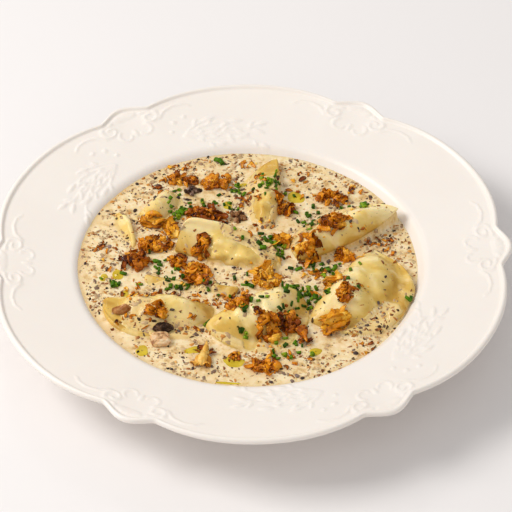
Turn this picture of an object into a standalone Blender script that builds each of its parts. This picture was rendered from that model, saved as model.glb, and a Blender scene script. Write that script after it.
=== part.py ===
"""Pierogi in mushroom cream sauce, served in a lobed soup plate.

The origin is on the table under the plate's centre, and +Z is up. The diner sits at -Y.
Every piece is its own closed solid: the plate, the pool of sauce, nine dumplings and the larger toppings.
"""

import math

import bmesh
import bpy
from mathutils import Matrix, Vector, noise
from mathutils.bvhtree import BVHTree

MM = 0.001
GAP = 0.4 * MM  # kept between pieces that touch

# Plate, in metres
FLOOR_TOP = 9 * MM
FLOOR_RADIUS = 62.9 * MM
FLOOR_THICKNESS = 4.6 * MM
WELL_FILLET = 22 * MM
WELL_WALL_ANGLE = math.radians(50)
WELL_WALL_LENGTH = 13.9 * MM
WELL_EDGE_RADIUS = 6 * MM
RIM_ANGLE = math.radians(7.5)
RIM_LENGTH = 39.3 * MM
LIP_STEP = 1.6 * MM
LIP_RADIUS = 1.7 * MM
FOOT_OUTER_RADIUS = 62 * MM
FOOT_WIDTH = 4 * MM
FOOT_HEIGHT = 3.6 * MM

# Outline of the rim: six lobes that meet at six small shells
LOBES = 6
LOBE_PITCH = 2 * math.pi / LOBES
FIRST_SHELL_ANGLE = math.radians(2.4)
LOBE_DROP = 0.078  # share of the radius that a lobe loses beside a shell
LOBE_POWER = 2.4
SHELL_RISE = 0.041
SHELL_HALF_ANGLE = math.radians(6.4)
SHELL_SPREAD = 1.08  # the shell's bump reaches a little further than the shell
SHELL_POWER = 0.8
OVAL = 0.012  # the plate is this share narrower from front to back

PLATE_STEPS = 60
SAUCE_STEPS = 48
STEP_CROWDING = 0.62  # how far the steps of the turning crowd towards the shells

# Sauce
SAUCE_LEVEL = 26 * MM

# Dumpling section
SEAM_SHARE = 0.74  # where the filling ends and the pinched border begins
BORDER_THICKNESS = 3.0 * MM
UNDERSIDE_SHARE = 0.72  # the underside is flatter than the top
RINGS = 12
RING_POINTS = 12

# Each dumpling is a half moon. Its place is the middle of the line between its two tips, in mm.
# yaw turns that line, tilt lifts the pinched side, pitch lifts the +x tip, curl lifts both tips.
# ends says how square the -x and +x ends are, and dome where along the line the filling starts and stops.
DUMPLINGS = {
    "pierogi_front_left": dict(
        place=(-46, -30.5, 26.2), yaw=176, tilt=0, pitch=4, size=(58, 25, 18), curl=0.0,
        ends=(2.4, 2.1), dome=(-1.0, 0.72)),
    "pierogi_front": dict(
        place=(1, -34, 28.0), yaw=211, tilt=-7, pitch=0, size=(54, 30, 21), curl=0.0,
        ends=(2.4, 2.1), dome=(-1.0, 1.0)),
    "pierogi_right": dict(
        place=(49, -17.5, 27.2), yaw=235, tilt=-3, pitch=-3, size=(60, 34, 21), curl=0.0,
        ends=(2.6, 2.4), dome=(-0.92, 1.0)),
    "pierogi_back_right": dict(
        place=(51, 19.5, 29.4), yaw=31, tilt=-10, pitch=6, size=(62, 23, 20), curl=1.0,
        ends=(2.4, 1.5), dome=(-1.0, 0.86)),
    "pierogi_centre": dict(
        place=(-11.5, 5, 24.3), yaw=-15, tilt=38, pitch=-8, size=(56, 18, 19), curl=1.5,
        ends=(7.0, 2.4), dome=(-0.66, 1.0)),
    "pierogi_back": dict(
        place=(12, 54, 25.8), yaw=85, tilt=-8, pitch=6, size=(52, 20, 17), curl=1.0,
        ends=(2.4, 1.35), dome=(-1.0, 0.55)),
    "pierogi_back_left": dict(
        place=(-51.6, 43.7, 25.4), yaw=235, tilt=-8, pitch=-5, size=(31, 17, 15), curl=0.0,
        ends=(2.6, 2.4), dome=(-1.0, 1.0)),
    "pierogi_left": dict(
        place=(-68, 23.5, 21.0), yaw=-74, tilt=52, pitch=-6, size=(32, 11, 7), curl=0.0,
        ends=(3.0, 2.4), dome=(-1.0, 1.0)),
    "pierogi_sunken": dict(
        place=(-30, -13.5, 21.3), yaw=169, tilt=0, pitch=0, size=(49, 10, 12), curl=5.5,
        ends=(2.4, 2.4), dome=(-1.0, 1.0)),
}
BELLY_SHARE = 0.2  # how far the folded side bulges, as a share of the width

# Toppings as large as berries: place and yaw on the food, then length, width and height in mm.
FRIED_ONIONS = (
    (-36, 65, 14, 7, 5, -15),
    (-18, 64, 15, 10, 5, 15),
    (-24, 35, 19, 18, 8, -15),
    (-51, 31, 13, 8, 5, 0),
    (-41, 26, 7, 13, 6, 15),
    (-49, 15, 17, 10, 5, 0),
    (-60, 2, 15, 13, 5, 15),
    (-27, -8, 15, 16, 6, 20),
    (-47, -41, 10, 7, 4, 0),
    (-6, -39, 10, 7, 5, 20),
    (-25, 8, 8, 12, 5, 20),
    (8, -10, 16, 13, 6, -30),
    (8, -51, 11, 16, 6, 15),
    (20, -44, 10, 11, 6, 0),
    (43, -45, 15, 10, 5, 10),
    (48, -31, 9, 8, 4, 30),
    (17, 19, 10, 8, 6, 0),
    (29.5, 8, 12, 15, 7, -10),
    (43, 19, 16, 9, 7, 20),
    (49, 8, 8, 8, 5, 0),
    (43, 52, 14, 9, 4, -20),
    (17, 45, 9, 13, 4, 25),
    (7, -74, 14, 9, 4, -30),
    (43, -20.5, 11, 5, 4, 12),
    (-38, 2, 8, 7, 4, 0),
)
ONION_PETALS = (
    (-23, -67, 9, 18, 6, -10),
    (27, -52, 6, 13, 5, 15),
)
MUSHROOMS = (
    (-65, -38, 10, 5, 4, 0),
    (-44, -49, 10, 4.5, 4, 5),
    (-45, -56.5, 10, 8, 4, 10),
    (-7, 37, 8, 10, 5, -20),
    (-31, 56, 9, 8, 5, 0),
)

MATERIALS = {
    "porcelain": dict(color=(0.86, 0.83, 0.78), roughness=0.18),
    "sauce": dict(color=(0.82, 0.68, 0.47), roughness=0.25),
    "dough": dict(color=(0.84, 0.70, 0.40), roughness=0.30),
    "fried_onion": dict(color=(0.50, 0.22, 0.05), roughness=0.50),
    "onion_petal": dict(color=(0.68, 0.42, 0.13), roughness=0.40),
    "mushroom": dict(color=(0.33, 0.20, 0.13), roughness=0.35),
}


def clear_scene():
    for obj in list(bpy.data.objects):
        bpy.data.objects.remove(obj)


def new_collection(name):
    collection = bpy.data.collections.new(name)
    bpy.context.scene.collection.children.link(collection)
    return collection


def material(name):
    """A Principled material with the named colour and gloss, made once."""
    found = bpy.data.materials.get(name)
    if found:
        return found
    made = bpy.data.materials.new(name)
    made.use_nodes = True
    shader = made.node_tree.nodes["Principled BSDF"]
    look = MATERIALS[name]
    shader.inputs["Base Color"].default_value = (*look["color"], 1)
    shader.inputs["Roughness"].default_value = look["roughness"]
    shader.inputs["Metallic"].default_value = 0
    return made


def add_object(name, mesh, collection, look):
    obj = bpy.data.objects.new(name, mesh)
    collection.objects.link(obj)
    mesh.materials.clear()
    mesh.materials.append(material(look))
    mesh.shade_smooth()
    mesh.set_sharp_from_angle(angle=math.radians(50))
    return obj


def evaluated_mesh(obj):
    """The object's mesh with its modifiers applied, as a new mesh."""
    bpy.context.view_layer.update()
    graph = bpy.context.evaluated_depsgraph_get()
    return bpy.data.meshes.new_from_object(obj.evaluated_get(graph))


# Turned shapes


class Path:
    """A profile drawn like a turtle: it knows its point and heading, in the r-z plane."""

    def __init__(self, r, z, heading):
        self.points = [(r, z)]
        self.heading = heading

    def line(self, length):
        r, z = self.points[-1]
        self.points.append((r + length * math.cos(self.heading), z + length * math.sin(self.heading)))
        return self

    def line_to(self, r, z):
        self.points.append((r, z))
        return self

    def arc(self, radius, turn, steps):
        """Turns left by a positive angle and right by a negative one."""
        chord = 2 * radius * math.sin(abs(turn) / steps / 2)
        for _ in range(steps):
            self.heading += turn / steps / 2
            self.line(chord)
            self.heading += turn / steps / 2
        return self


def well_path(floor_radius, floor_top, fillet, steps):
    """The inside of the well from the axis out to the foot of its straight wall."""
    path = Path(0, floor_top, 0).line(floor_radius)
    return path.arc(fillet, WELL_WALL_ANGLE, steps)


def plate_profile():
    path = well_path(FLOOR_RADIUS, FLOOR_TOP, WELL_FILLET, 3)
    path.line(WELL_WALL_LENGTH)
    path.arc(WELL_EDGE_RADIUS, RIM_ANGLE - WELL_WALL_ANGLE, 2)
    path.line(RIM_LENGTH)
    path.arc(LIP_STEP, math.radians(50), 1)
    path.arc(LIP_STEP, -math.radians(50), 1)
    path.arc(LIP_RADIUS, -math.radians(180), 3)
    edge_r, edge_z = path.points[-1]
    rim_end_r = FLOOR_RADIUS + WELL_FILLET * math.sin(WELL_WALL_ANGLE) + 14 * MM
    rim_end_z = edge_z - (edge_r - rim_end_r) * math.tan(RIM_ANGLE)
    path.line_to(rim_end_r, rim_end_z)
    under_wall = Path(FOOT_OUTER_RADIUS, FLOOR_TOP - FLOOR_THICKNESS, 0)
    under_wall.line(6 * MM)
    under_wall.arc(WELL_FILLET, WELL_WALL_ANGLE, 2)
    path.points += under_wall.points[:0:-1]
    foot_inner = FOOT_OUTER_RADIUS - FOOT_WIDTH
    underside = FLOOR_TOP - FLOOR_THICKNESS
    path.line_to(FOOT_OUTER_RADIUS, underside)
    path.line_to(FOOT_OUTER_RADIUS - 0.6 * MM, 0)
    path.line_to(foot_inner, 0)
    path.line_to(foot_inner - 1 * MM, FOOT_HEIGHT)
    path.line_to(0, FOOT_HEIGHT)
    return path.points


def sauce_profile():
    """The pool: it follows the well's inside at the gap, up to the level of the sauce."""
    path = well_path(FLOOR_RADIUS, FLOOR_TOP + GAP, WELL_FILLET - GAP, 3)
    rise = SAUCE_LEVEL - path.points[-1][1]
    path.line(rise / math.sin(WELL_WALL_ANGLE))
    return path.line_to(0, SAUCE_LEVEL).points


def turned_mesh(points, steps, collection):
    """Turns a closed profile about Z with a Screw modifier, then crowds its steps towards the shells."""
    mesh = bpy.data.meshes.new("profile")
    corners = [(r, 0, z) for r, z in points]
    mesh.from_pydata(corners, [(i, i + 1) for i in range(len(corners) - 1)], [])
    guide = bpy.data.objects.new("profile_guide", mesh)
    collection.objects.link(guide)
    screw = guide.modifiers.new("turn", "SCREW")
    screw.axis = "Z"
    screw.angle = 2 * math.pi
    screw.steps = screw.render_steps = steps
    screw.use_merge_vertices = True
    screw.merge_threshold = 0.01 * MM
    turned = evaluated_mesh(guide)
    bpy.data.objects.remove(guide)
    for vertex in turned.vertices:
        r = math.hypot(vertex.co.x, vertex.co.y)
        angle = math.atan2(vertex.co.y, vertex.co.x)
        angle += FIRST_SHELL_ANGLE - STEP_CROWDING / LOBES * math.sin(LOBES * angle)
        vertex.co.x = r * math.cos(angle)
        vertex.co.y = r * math.sin(angle)
    return turned


# Plate


def outline_scale(angle):
    """The rim's radius at an angle, as a share of its largest."""
    turns = (angle - FIRST_SHELL_ANGLE) / LOBE_PITCH
    from_shell = abs(turns - round(turns)) * LOBE_PITCH
    beside = max(from_shell, SHELL_HALF_ANGLE)
    scale = 1 - LOBE_DROP * (1 - beside / (LOBE_PITCH / 2)) ** LOBE_POWER
    reach = min(1.0, from_shell / (SHELL_SPREAD * SHELL_HALF_ANGLE))
    bump = 0.5 + 0.5 * math.cos(math.pi * reach)
    return (scale + SHELL_RISE * bump**SHELL_POWER) * (1 - OVAL * math.sin(angle) ** 2)


def make_plate(collection):
    points = plate_profile()
    widest = max(r for r, _ in points)
    well_edge = FLOOR_RADIUS + WELL_FILLET * math.sin(WELL_WALL_ANGLE) + WELL_WALL_LENGTH
    mesh = turned_mesh(points, PLATE_STEPS, collection)
    for vertex in mesh.vertices:
        r = math.hypot(vertex.co.x, vertex.co.y)
        share = max(0.0, (r - well_edge) / (widest - well_edge))
        scale = 1 + (outline_scale(math.atan2(vertex.co.y, vertex.co.x)) - 1) * share**1.5
        vertex.co.x *= scale
        vertex.co.y *= scale
    return add_object("plate", mesh, collection, "porcelain")


# Dumplings


def dumpling_point(along, around, given):
    """A point of the half moon: along runs from tip to tip, and around goes round the section."""
    length, width, thickness = (side * MM for side in given["size"])
    power = given["ends"][0] if along < 0 else given["ends"][1]
    end = max(0.0, 1 - abs(along) ** power) ** (1 / power)
    fold = -BELLY_SHARE * width * end
    border = width * end
    across = (1 + math.cos(around)) / 2
    y = fold + (border - fold) * across
    filled = min(1.0, across / SEAM_SHARE)
    filling = math.sin(math.pi * filled**0.75) ** 0.8 if filled < 1 else 0.0
    start, stop = given["dome"]
    middle = min(1.0, abs((2 * along - start - stop) / (stop - start)))
    filling *= thickness / 2 * (1 - middle**2.6) ** 0.85
    pinch = BORDER_THICKNESS / 2 * min(1.0, 2.2 * abs(math.sin(around))) * min(1.0, 2.5 * end)
    half = math.hypot(filling, pinch)
    if math.sin(around) < 0:
        half = -half * UNDERSIDE_SHARE
    return Vector((length / 2 * along, y, half + given["curl"] * MM * along * along))


def dumpling_matrix(place, yaw, tilt, pitch):
    turn = Matrix.Rotation(math.radians(yaw), 4, "Z")
    turn @= Matrix.Rotation(-math.radians(pitch), 4, "Y")
    turn @= Matrix.Rotation(math.radians(tilt), 4, "X")
    return Matrix.Translation(Vector(place) * MM) @ turn


def dumpling_mesh(name, given):
    """A ball whose poles become the tips of the half moon."""
    shape = bmesh.new()
    bmesh.ops.create_uvsphere(shape, u_segments=RING_POINTS, v_segments=RINGS, radius=1)
    for vertex in shape.verts:
        along = max(-1.0, min(1.0, vertex.co.z))
        around = math.atan2(vertex.co.y, vertex.co.x)
        vertex.co = dumpling_point(along, around, given)
    bmesh.ops.triangulate(shape, faces=shape.faces)
    mesh = bpy.data.meshes.new(name)
    shape.to_mesh(mesh)
    shape.free()
    return mesh


def make_dumplings(collection):
    made = []
    for name, given in DUMPLINGS.items():
        obj = add_object(name, dumpling_mesh(name, given), collection, "dough")
        obj.matrix_world = dumpling_matrix(given["place"], given["yaw"], given["tilt"], given["pitch"])
        made.append(obj)
    return made


# Sauce


def swollen_copy(obj, by, collection):
    """A cutter of the object's shape, swollen by the gap."""
    cutter = bpy.data.objects.new(obj.name + "_cutter", obj.data)
    cutter.matrix_world = obj.matrix_world
    cutter.hide_render = True
    cutter.display_type = "WIRE"
    swell = cutter.modifiers.new("swell", "DISPLACE")
    swell.mid_level = 0
    swell.strength = by
    collection.objects.link(cutter)
    return cutter


def make_sauce(collection, cutters, dumplings):
    pool = turned_mesh(sauce_profile(), SAUCE_STEPS, collection)
    sauce = add_object("sauce", pool, collection, "sauce")
    for dumpling in dumplings:
        cut = sauce.modifiers.new("round_" + dumpling.name, "BOOLEAN")
        cut.operation = "DIFFERENCE"
        cut.solver = "EXACT"
        cut.object = swollen_copy(dumpling, GAP, cutters)
    return sauce


# Toppings


def surface_of(objects):
    """One tree of all the faces that a topping can lie on."""
    corners, faces = [], []
    for obj in objects:
        mesh = evaluated_mesh(obj)
        first = len(corners)
        corners += [obj.matrix_world @ vertex.co for vertex in mesh.vertices]
        faces += [[first + i for i in face.vertices] for face in mesh.polygons]
        bpy.data.meshes.remove(mesh)
    return BVHTree.FromPolygons(corners, faces)


def height_at(surface, x, y, reach):
    """The highest point of the food within reach of a place."""
    highest = SAUCE_LEVEL
    for i in range(9):
        r = reach if i else 0
        angle = i * math.pi / 4
        start = Vector((x + r * math.cos(angle), y + r * math.sin(angle), 0.1))
        hit = surface.ray_cast(start, Vector((0, 0, -1)))[0]
        if hit:
            highest = max(highest, hit.z)
    return highest


def lump_mesh(name, surface, place, ragged, pointed):
    """A ragged crumb whose underside follows the food it lies on."""
    x, y, length, width, height, yaw = place
    shape = bmesh.new()
    bmesh.ops.create_icosphere(shape, subdivisions=2, radius=1)
    turn = Matrix.Rotation(math.radians(yaw), 3, "Z")
    for vertex in shape.verts:
        way = vertex.co.normalized()
        swell = 1 + ragged * noise.noise(way * 1.9 + Vector((x, y, length)))
        taper = 1 - pointed * max(0.0, way.y)
        flat = turn @ Vector((way.x * taper * length / 2, way.y * width / 2, 0)) * swell
        px, py = (x + flat.x) * MM, (y + flat.y) * MM
        lift = (way.z * 0.5 + 0.5) ** 0.8 * height * swell
        vertex.co = (px, py, height_at(surface, px, py, 1.2 * MM) + GAP + lift * MM)
    mesh = bpy.data.meshes.new(name)
    shape.to_mesh(mesh)
    shape.free()
    return mesh


def make_toppings(collection, surface):
    kinds = (
        ("fried_onion", FRIED_ONIONS, 0.35, 0.0),
        ("onion_petal", ONION_PETALS, 0.15, 0.6),
        ("mushroom", MUSHROOMS, 0.15, 0.0),
    )
    for look, places, ragged, pointed in kinds:
        for number, place in enumerate(places, 1):
            name = f"{look}_{number:02d}"
            add_object(name, lump_mesh(name, surface, place, ragged, pointed), collection, look)


def main():
    clear_scene()
    dish = new_collection("pierogi_plate")
    cutters = new_collection("cutters")
    cutters.hide_render = True
    plate = make_plate(dish)
    dumplings = make_dumplings(dish)
    sauce = make_sauce(dish, cutters, dumplings)
    make_toppings(dish, surface_of([plate, sauce, *dumplings]))


main()
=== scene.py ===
"""Looks of the plated pierogi: fine surfaces, sauce, garnish, materials, light and camera."""

import math

import bpy
import numpy as np
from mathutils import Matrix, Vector


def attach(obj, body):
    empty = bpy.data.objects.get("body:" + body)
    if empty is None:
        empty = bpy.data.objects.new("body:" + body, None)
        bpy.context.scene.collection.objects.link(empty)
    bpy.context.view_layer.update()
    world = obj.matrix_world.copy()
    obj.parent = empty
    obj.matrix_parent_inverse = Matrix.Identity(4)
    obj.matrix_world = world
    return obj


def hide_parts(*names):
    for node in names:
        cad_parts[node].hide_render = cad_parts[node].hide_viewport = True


MM = 0.001
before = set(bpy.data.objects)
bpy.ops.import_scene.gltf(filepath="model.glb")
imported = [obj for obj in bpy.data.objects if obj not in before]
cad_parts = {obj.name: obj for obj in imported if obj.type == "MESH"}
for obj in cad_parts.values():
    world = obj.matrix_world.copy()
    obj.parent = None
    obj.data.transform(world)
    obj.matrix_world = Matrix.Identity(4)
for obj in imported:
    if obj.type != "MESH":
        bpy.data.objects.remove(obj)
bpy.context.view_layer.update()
ROOT = "root"

# Plate sizes in mm, as in the part
FLOOR_TOP = 9.0
FLOOR_RADIUS = 62.9
FLOOR_BOTTOM = FLOOR_TOP - 4.6
WELL_FILLET = 22.0
WELL_WALL_ANGLE = math.radians(50)
WELL_WALL_LENGTH = 13.9
WALL_FOOT_RADIUS = FLOOR_RADIUS + WELL_FILLET * math.sin(WELL_WALL_ANGLE)
WALL_FOOT_HEIGHT = FLOOR_TOP + WELL_FILLET * (1 - math.cos(WELL_WALL_ANGLE))
WELL_EDGE_RADIUS = 6.0
RIM_ANGLE = math.radians(7.5)
RIM_LENGTH = 39.3
LIP_STEP = 1.6
LIP_RADIUS = 1.7
FOOT_OUTER_RADIUS = 62.0
FOOT_WIDTH = 4.0
FOOT_HEIGHT = 3.6
LOBE_PITCH = math.radians(60)
FIRST_SHELL_ANGLE = math.radians(2.4)
LOBE_DROP = 0.078
LOBE_POWER = 2.4
SHELL_RISE = 0.041
SHELL_HALF_ANGLE = math.radians(6.4)
OVAL = 0.012

# Relief on the rim, drawn with u along the rim and v outwards from a radius
RELIEF_RADIUS = 106.0
RELIEF_HEIGHT = 0.6
RELIEF_INNER_FADE = (-20, -15)  # in v
RELIEF_LIP_FADE = (5.2, 3.4)  # distances from the rim's outline
SPRAY_SHELLS = (2, 5)
SPRAY_RADIUS = 105.0
SPRAY_HALF_ANGLE = math.radians(46)

# Seeds of the random draws
CLUSTER_SEED, PETAL_SEED, MUSHROOM_SEED, FLECK_SEED = 500, 60, 40, 900
LOOSE_SEED, CHIVE_SEED, SKIN_SEED, OIL_SEED = 77, 11, 990, 21

# How finely the large pieces are divided
PLATE_COLUMNS = 840
SAUCE_ROWS, SAUCE_COLUMNS = 130, 570
DUMPLING_ROWS, DUMPLING_COLUMNS = 78, 72
SAMPLED_ROWS, SAMPLED_COLUMNS = 420, 420

# The sauce's edge: how far it climbs the well's wall, how far it reaches into it, how wide its climb is,
# and the depths and insets of the rings that close the sauce out of sight
MENISCUS = 0.25
WALL_OVERLAP = 0.45
CLIMB_WIDTH = 2.2
SAUCE_SKIRT = ((1.2, 1.0), (9.0, 7.6))

# Food sizes in mm, as in the part
SAUCE_LEVEL = 26.0
SEAM_SHARE = 0.74
BORDER_THICKNESS = 3.0
UNDERSIDE_SHARE = 0.72
BELLY_SHARE = 0.2
# Place, yaw, tilt, pitch, size, curl, how square the two ends are, and the stretch that is filled
DUMPLINGS = {
    "pierogi_front_left": ((-46, -30.5, 26.2), 176, 0, 4, (58, 25, 18), 0.0, (2.4, 2.1), (-1.0, 0.72)),
    "pierogi_front": ((1, -34, 28.0), 211, -7, 0, (54, 30, 21), 0.0, (2.4, 2.1), (-1.0, 1.0)),
    "pierogi_right": ((49, -17.5, 27.2), 235, -3, -3, (60, 34, 21), 0.0, (2.6, 2.4), (-0.92, 1.0)),
    "pierogi_back_right": ((51, 19.5, 29.4), 31, -10, 6, (62, 23, 20), 1.0, (2.4, 1.5), (-1.0, 0.86)),
    "pierogi_centre": ((-11.5, 5, 24.3), -15, 38, -8, (56, 18, 19), 1.5, (7.0, 2.4), (-0.66, 1.0)),
    "pierogi_back": ((12, 54, 25.8), 85, -8, 6, (52, 20, 17), 1.0, (2.4, 1.35), (-1.0, 0.55)),
    "pierogi_back_left": ((-51.6, 43.7, 25.4), 235, -8, -5, (31, 17, 15), 0.0, (2.6, 2.4), (-1.0, 1.0)),
    "pierogi_left": ((-68, 23.5, 21.0), -74, 52, -6, (32, 11, 7), 0.0, (3.0, 2.4), (-1.0, 1.0)),
    "pierogi_sunken": ((-30, -13.5, 21.3), 169, 0, 0, (49, 10, 12), 5.5, (2.4, 2.4), (-1.0, 1.0)),
}

# Crisp clusters: place, length, width, height, yaw, and how brown they are (0 pale gold, 1 dark)
FRIED_ONIONS = (
    (-36, 65, 14, 7, 5, -15, 0.45), (-18, 64, 15, 10, 5, 15, 0.60), (-24, 35, 19, 18, 8, -15, 0.80),
    (-51, 31, 13, 8, 5, 0, 0.20), (-41, 26, 7, 13, 6, 15, 0.05), (-49, 15, 17, 10, 5, 0, 0.60),
    (-60, 2, 15, 13, 5, 15, 0.80), (-27, -8, 15, 16, 6, 20, 0.60), (-47, -41, 10, 7, 4, 0, 0.65),
    (-6, -39, 10, 7, 5, 20, 0.60), (-25, 8, 8, 12, 5, 20, 0.60), (8, -10, 16, 13, 6, -30, 0.40),
    (8, -51, 11, 16, 6, 15, 0.60), (20, -44, 10, 11, 6, 0, 0.75), (43, -45, 15, 10, 5, 10, 0.25),
    (48, -31, 9, 8, 4, 30, 0.50), (17, 19, 10, 8, 6, 0, 0.05), (29.5, 8, 12, 15, 7, -10, 0.50),
    (43, 19, 16, 9, 7, 20, 0.50), (49, 8, 8, 8, 5, 0, 0.60), (43, 52, 14, 9, 4, -20, 0.55),
    (17, 45, 9, 13, 4, 25, 0.50), (7, -74, 14, 9, 4, -30, 0.65), (43, -20.5, 11, 5, 4, 12, 0.25),
    (-38, 2, 8, 7, 4, 0, 0.50),
)
# Below the first shade a cluster is made of curls, below the second it is gold, and from the third dark
CURLED_BELOW, BROWN_FROM, DARK_FROM = 0.3, 0.45, 0.7
# How much of a cluster's area, in square mm, goes with each lump, flake, flake beside curls, and crumb
LUMP_AREA, FLAKE_AREA, CURLED_FLAKE_AREA, CRUMB_AREA = 36, 9, 30, 18
# Onion petals and mushroom pieces: place, length, width, height, yaw
ONION_PETALS = (
    (-23, -67, 9, 18, 6, -10),
    (27, -52, 6, 13, 5, 15),
)
MUSHROOMS = (
    (-65, -38, 10, 5, 4, 0),
    (-44, -49, 10, 4.5, 4, 5),
    (-45, -56.5, 10, 8, 4, 10),
    (-7, 37, 8, 10, 5, -20),
    (-31, 56, 9, 8, 5, 0),
)

# Loose crisps lie in groups: place, spread along X and Y, and how many times CRISPS_PER_COUNT
LOOSE_CRISPS = (
    (-39, 74, 5, 2, 2), (-52, 58, 4, 3, 2), (0, 78, 4, 2, 3), (-1, 50, 6, 4, 5), (7, 29, 4, 3, 2),
    (54, 59, 4, 3, 3), (50, 33, 4, 2, 2), (66, 20, 7, 3, 4), (-38, 6, 4, 2, 1), (-62, -18, 5, 5, 3),
    (-56, -31, 6, 2, 3), (-41, -24, 7, 3, 5), (-22, -27, 8, 4, 6), (-1, -21, 4, 3, 3), (32, -5, 6, 2, 4),
    (43, -21, 6, 2, 2), (58, -24, 5, 2, 2), (-8, -66.5, 2, 2.2, 6), (20, -68, 9, 5, 4),
    (-28, -45, 3, 3, 2), (30, -15, 12, 7, 4), (-60, -45, 9, 4, 3), (60, -60, 7, 5, 3), (-75, 5, 6, 9, 4),
    (30, 62, 14, 8, 5), (-5, 20, 12, 5, 3), (66, 5, 9, 8, 4), (-30, 66, 14, 4, 4), (-9.6, -26, 2, 3, 3),
    (5, 63, 3, 5, 3), (-34, -4, 5, 5, 3), (-20, 26, 5, 3, 2),
)
CRISPS_PER_COUNT = 3
LOOSE_CRUMB_SHARE = 0.15
# Chive rings lie in groups too, and the last value is how long the group's rings are
CHIVES = (
    (-17, 80, 1, 1, 1, 3.0), (11, 63, 8, 7, 9, 1.0), (-8, 60, 4, 3, 4, 1.3), (2.5, 55, 5, 3, 4, 1.2),
    (14, 53, 4, 6, 5, 1.0), (-40, 44, 4, 7, 6, 1.0), (-35, 38, 4, 4, 5, 1.2), (-37, 56, 2, 3, 2, 1.2),
    (-19, 48, 8, 3, 5, 1.1), (-10, 43, 3, 4, 3, 0.9), (8, 15, 6, 5, 8, 1.7), (16, 4, 2, 6, 4, 0.9),
    (-7, 15, 6, 2, 2, 1.0), (29, 40, 9, 6, 9, 0.9), (49, 46, 6, 2, 3, 1.0), (60, 40, 1, 1, 1, 2.0),
    (-46, 1, 8, 4, 7, 1.2), (-38, -9, 4, 5, 5, 1.2), (-33, -15, 6, 3, 6, 1.3), (-66, -14, 7, 3, 5, 1.2),
    (-20, -19, 8, 3, 4, 1.2), (0, -13, 6, 4, 3, 1.2), (40, -2, 9, 4, 11, 1.3), (29, -24, 10, 7, 16, 1.1),
    (19, -29, 5, 4, 6, 1.3), (33, -24, 5, 5, 6, 1.1), (-3, -37, 6, 4, 5, 1.4), (20, -41, 5, 3, 4, 1.2),
    (-3, -54, 5, 2, 4, 1.2), (18, -57, 5, 3, 4, 1.1), (21, -65, 7, 2, 6, 1.0), (54, -28, 3, 2, 2, 1.1),
    (82, -26, 1, 1, 1, 1.6), (-22, -44, 1, 1, 1, 1.2), (-9, -20, 6, 5, 3, 1.0), (36, 26, 5, 3, 2, 1.0),
    (5, 19.5, 1, 1, 1, 2.5), (10, 11.5, 2, 1, 2, 1.8), (22, -21, 1, 1, 1, 2.2),
    (-3, -42, 1.5, 1, 2, 1.9), (-70, -14.5, 1, 1, 1, 1.8), (-36, 38.5, 2, 2, 3, 1.6),
    (59, 40, 0.5, 0.5, 1, 2.2),
)
CHIVES_PER_COUNT = 1.6
LARGE_CHIVE = 1.5  # rings from this length on are wider, and none stands upright
UPRIGHT_CHIVE_SHARE = 0.16
# Dark pieces of mushroom skin: place, length, and how much longer than wide
DARK_PIECES = (
    (-50, 46, 2.6, 1.4), (-60.5, 41, 3.2, 1.5), (-53, 40, 1.2, 1.1), (-73, 13, 2.8, 1.2),
    (-39, -40.5, 2.6, 1.6), (-39, -48, 1.8, 1.2), (-36, -49.5, 2.8, 1.9), (53, -63, 3.4, 1.5),
    (23.5, -79.5, 3.2, 1.4), (26, -81, 2.2, 1.2), (10.5, -84, 2.4, 1.7), (21, -83, 2.8, 1.9),
    (-39, -76, 2.0, 1.4), (-28.5, -75, 2.6, 1.8), (-56, -64, 2.0, 1.5), (-23, -4, 2.2, 1.1),
    (-12.5, 32.5, 2.6, 1.6), (12, -4, 2.2, 1.3), (59, -45, 2.4, 1.5), (65, -31, 2.6, 1.4),
    (69, -16, 2.2, 1.6), (52, 20.5, 2.6, 1.5), (68, 17, 3.0, 2.0), (62.5, 19, 2.6, 1.7),
    (40.5, 4, 3.4, 1.4), (41, -50, 1.6, 1.2), (30, 53, 2.4, 1.8), (-33, 50, 3.2, 1.8),
    (-38, 51, 2.6, 1.7), (-60, 62, 2.6, 1.8), (-85, 0, 2.0, 1.4), (-72, 30, 1.6, 1.2),
    (38, 30, 2.6, 2.2), (46, 24, 2.4, 1.6), (30, 13, 2.6, 1.6), (3, -44, 1.8, 1.4),
)
# Oil lenses: place, length, width, yaw
OIL = (
    (-54, -63, 7.0, 7.5, 0), (-28, -62, 11.0, 5.5, 5), (-8, -70, 10.5, 8.0, 0), (24, 53, 11.0, 8.0, -25),
    (-4, 62, 4.5, 3.0, 0), (33, -62, 7.0, 5.0, 20), (-75, -10, 4.5, 5.5, 0), (-68, -8, 6.5, 7.0, 0),
    (-64, -22, 4.0, 6.0, -15), (-12, 46, 5.0, 6.0, 0), (-11, -85, 15.0, 1.6, -4),
)


# Smooth noise


def hashed(ix, iy, iz, seed):
    h = ix.astype(np.int64) * 374761393 + iy.astype(np.int64) * 668265263
    h = (h + iz.astype(np.int64) * 1442695041 + seed * 1274126177) & 0xFFFFFFFF
    h = ((h ^ (h >> 13)) * 1274126177) & 0xFFFFFFFF
    return ((h ^ (h >> 16)) & 0xFFFFFF) / float(0xFFFFFF)


def noise(x, y, z, seed):
    """Value noise from -1 to 1, with features about one unit wide."""
    x, y, z = np.broadcast_arrays(np.asarray(x, float), np.asarray(y, float), np.asarray(z, float))
    ix, iy, iz = np.floor(x), np.floor(y), np.floor(z)
    fx, fy, fz = x - ix, y - iy, z - iz
    fx, fy, fz = (f * f * (3 - 2 * f) for f in (fx, fy, fz))
    total = 0.0
    for dx in (0, 1):
        for dy in (0, 1):
            for dz in (0, 1):
                weight = (fx if dx else 1 - fx) * (fy if dy else 1 - fy) * (fz if dz else 1 - fz)
                total = total + weight * hashed(ix + dx, iy + dy, iz + dz, seed)
    return total * 2 - 1


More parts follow.
